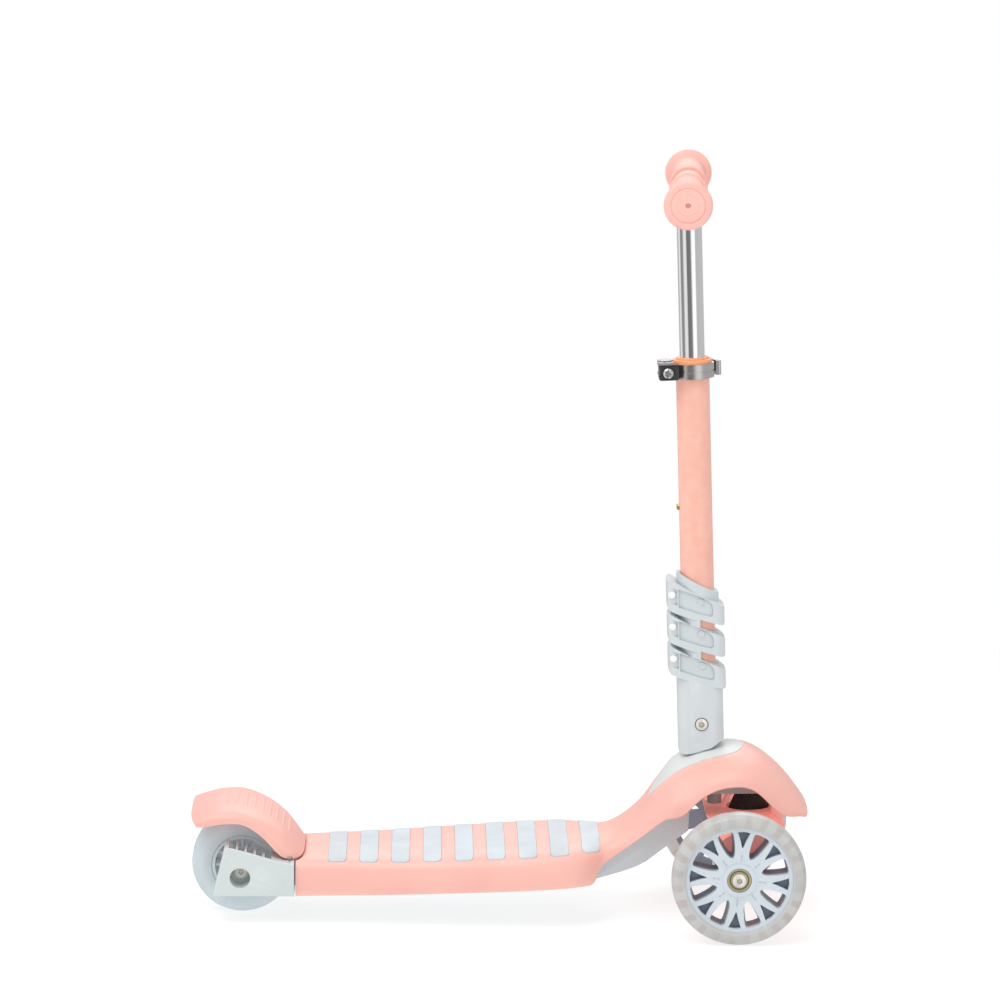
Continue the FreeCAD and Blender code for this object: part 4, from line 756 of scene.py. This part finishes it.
for side, out in AXES.items():
    made = bearings(side, side + "_front_wheel", centre(side + "_front_tyre"), out, FRONT_SEATS)
    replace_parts(made, side + "_front_bearings")
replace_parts(bearings("rear", "rear_wheel", rear_middle, LEFT, REAR_SEATS), "rear_bearings")

# ---------------------------------------------------------------- grip ribs on the brake fender
def surface_of(node):
    """A node's surface, for casting rays at it."""
    mesh = frame["nodes"][node].data
    return BVHTree.FromPolygons([v.co for v in mesh.vertices], [p.vertices for p in mesh.polygons])


fender = surface_of("brake_fender")
RIB_COUNT = 9
RIB_FROM, RIB_TO = math.radians(102), math.radians(38)
# half the rows of points along a rib, their spacing, and half the rib's width
RIB_ROWS, RIB_SPACING, RIB_HALF = 22, 1.3, 1.5
# a rib's section: share of its half width, height
RIB_SECTION = ((-1, -0.3), (-0.8, 0.18), (-0.45, 0.5), (0, 0.62), (0.45, 0.5), (0.8, 0.18), (1, -0.3))
RIB_SUNK = 0.12
bm = bmesh.new()
for k in range(RIB_COUNT):
    turn = RIB_FROM + (RIB_TO - RIB_FROM) * k / (RIB_COUNT - 1)
    outward = Vector((math.cos(turn), 0, math.sin(turn)))
    rows = []
    for i in range(-RIB_ROWS, RIB_ROWS + 1):
        y = i * RIB_SPACING * MM
        start = rear_middle + outward * 0.2 + Vector((0, y, 0))
        hit, normal, _, _ = fender.ray_cast(start, -outward)
        if hit is None:
            continue
        if normal.dot(outward) < 0:
            normal = -normal
        along = normal.cross(LEFT).normalized()
        taper = 1 - (abs(i) / RIB_ROWS) ** 6
        rows.append([bm.verts.new(hit + along * (a * RIB_HALF * MM) + normal * ((h * taper - RIB_SUNK) * MM))
                     for a, h in RIB_SECTION])
    for a, b in zip(rows, rows[1:]):
        for j in range(len(RIB_SECTION) - 1):
            bm.faces.new((a[j], a[j + 1], b[j + 1], b[j]))
        bm.faces.new((a[-1], a[0], b[0], b[-1]))
    for row in (rows[0], rows[-1]):
        bm.faces.new(row)
bmesh.ops.recalc_face_normals(bm, faces=bm.faces)
mesh = bpy.data.meshes.new("fender_ribs")
bm.to_mesh(mesh)
bm.free()
piece("fender_ribs", mesh, "fender", "coral_shell", sharp=60)

# ---------------------------------------------------------------- raised slots on the front hubs' spokes
SLOT_STEPS = 24
SLOT_LONG, SLOT_WIDE, SLOT_WALL, SLOT_HIGH, SLOT_SUNK = 2.6, 1.5, 0.4, 0.35, 0.2
# spokes, the first one's turn in degrees, and the slots' distances from the axle
SPOKES, HUB_TURN, SLOT_AT = 8, -4.7, (18.6, 22.2)


def slot_ring(place):
    """A raised stadium-shaped ring."""
    bm = bmesh.new()
    loops = []
    for reach, up in ((0, -SLOT_SUNK), (0, SLOT_HIGH), (-SLOT_WALL, SLOT_HIGH), (-SLOT_WALL, -SLOT_SUNK)):
        half, straight = SLOT_WIDE / 2 + reach, (SLOT_LONG - SLOT_WIDE) / 2
        loop = []
        for k in range(SLOT_STEPS):
            turn = 2 * math.pi * k / SLOT_STEPS
            x = math.cos(turn) * half + math.copysign(straight, math.cos(turn))
            loop.append(bm.verts.new(place @ Vector((x * MM, math.sin(turn) * half * MM, up * MM))))
        loops.append(loop)
    for a, b in zip(loops, loops[1:] + loops[:1]):
        for k in range(SLOT_STEPS):
            j = (k + 1) % SLOT_STEPS
            bm.faces.new((a[k], a[j], b[j], b[k]))
    bmesh.ops.recalc_face_normals(bm, faces=bm.faces)
    made = bpy.data.meshes.new("slot")
    bm.to_mesh(made)
    bm.free()
    return made


# painted shade: the slot rings are a darker blue than the hub, standing for the shade in the slots' recesses
slot_painted_shade = moulded("slot_painted_shade", (176, 192, 206), 0.4)
for side, out in AXES.items():
    middle = centre(side + "_front_tyre")
    flat = frame_of(middle, out, FORE) @ Matrix.Rotation(math.radians(HUB_TURN), 4, "Z")
    face = surface_of(side + "_front_hub").ray_cast(flat @ Vector((SLOT_AT[0] * MM, 0, 30 * MM)), -out)[0]
    place = flat @ Matrix.Translation((0, 0, (face - middle).dot(out)))
    rings = []
    for k in range(SPOKES):
        spin = place @ Matrix.Rotation(2 * math.pi * k / SPOKES, 4, "Z")
        rings += [slot_ring(spin @ Matrix.Translation((at * MM, 0, 0))) for at in SLOT_AT]
    piece(side + "_hub_slots", joined(*rings), side + "_front_wheel", "hub_blue", slot_painted_shade, 40)
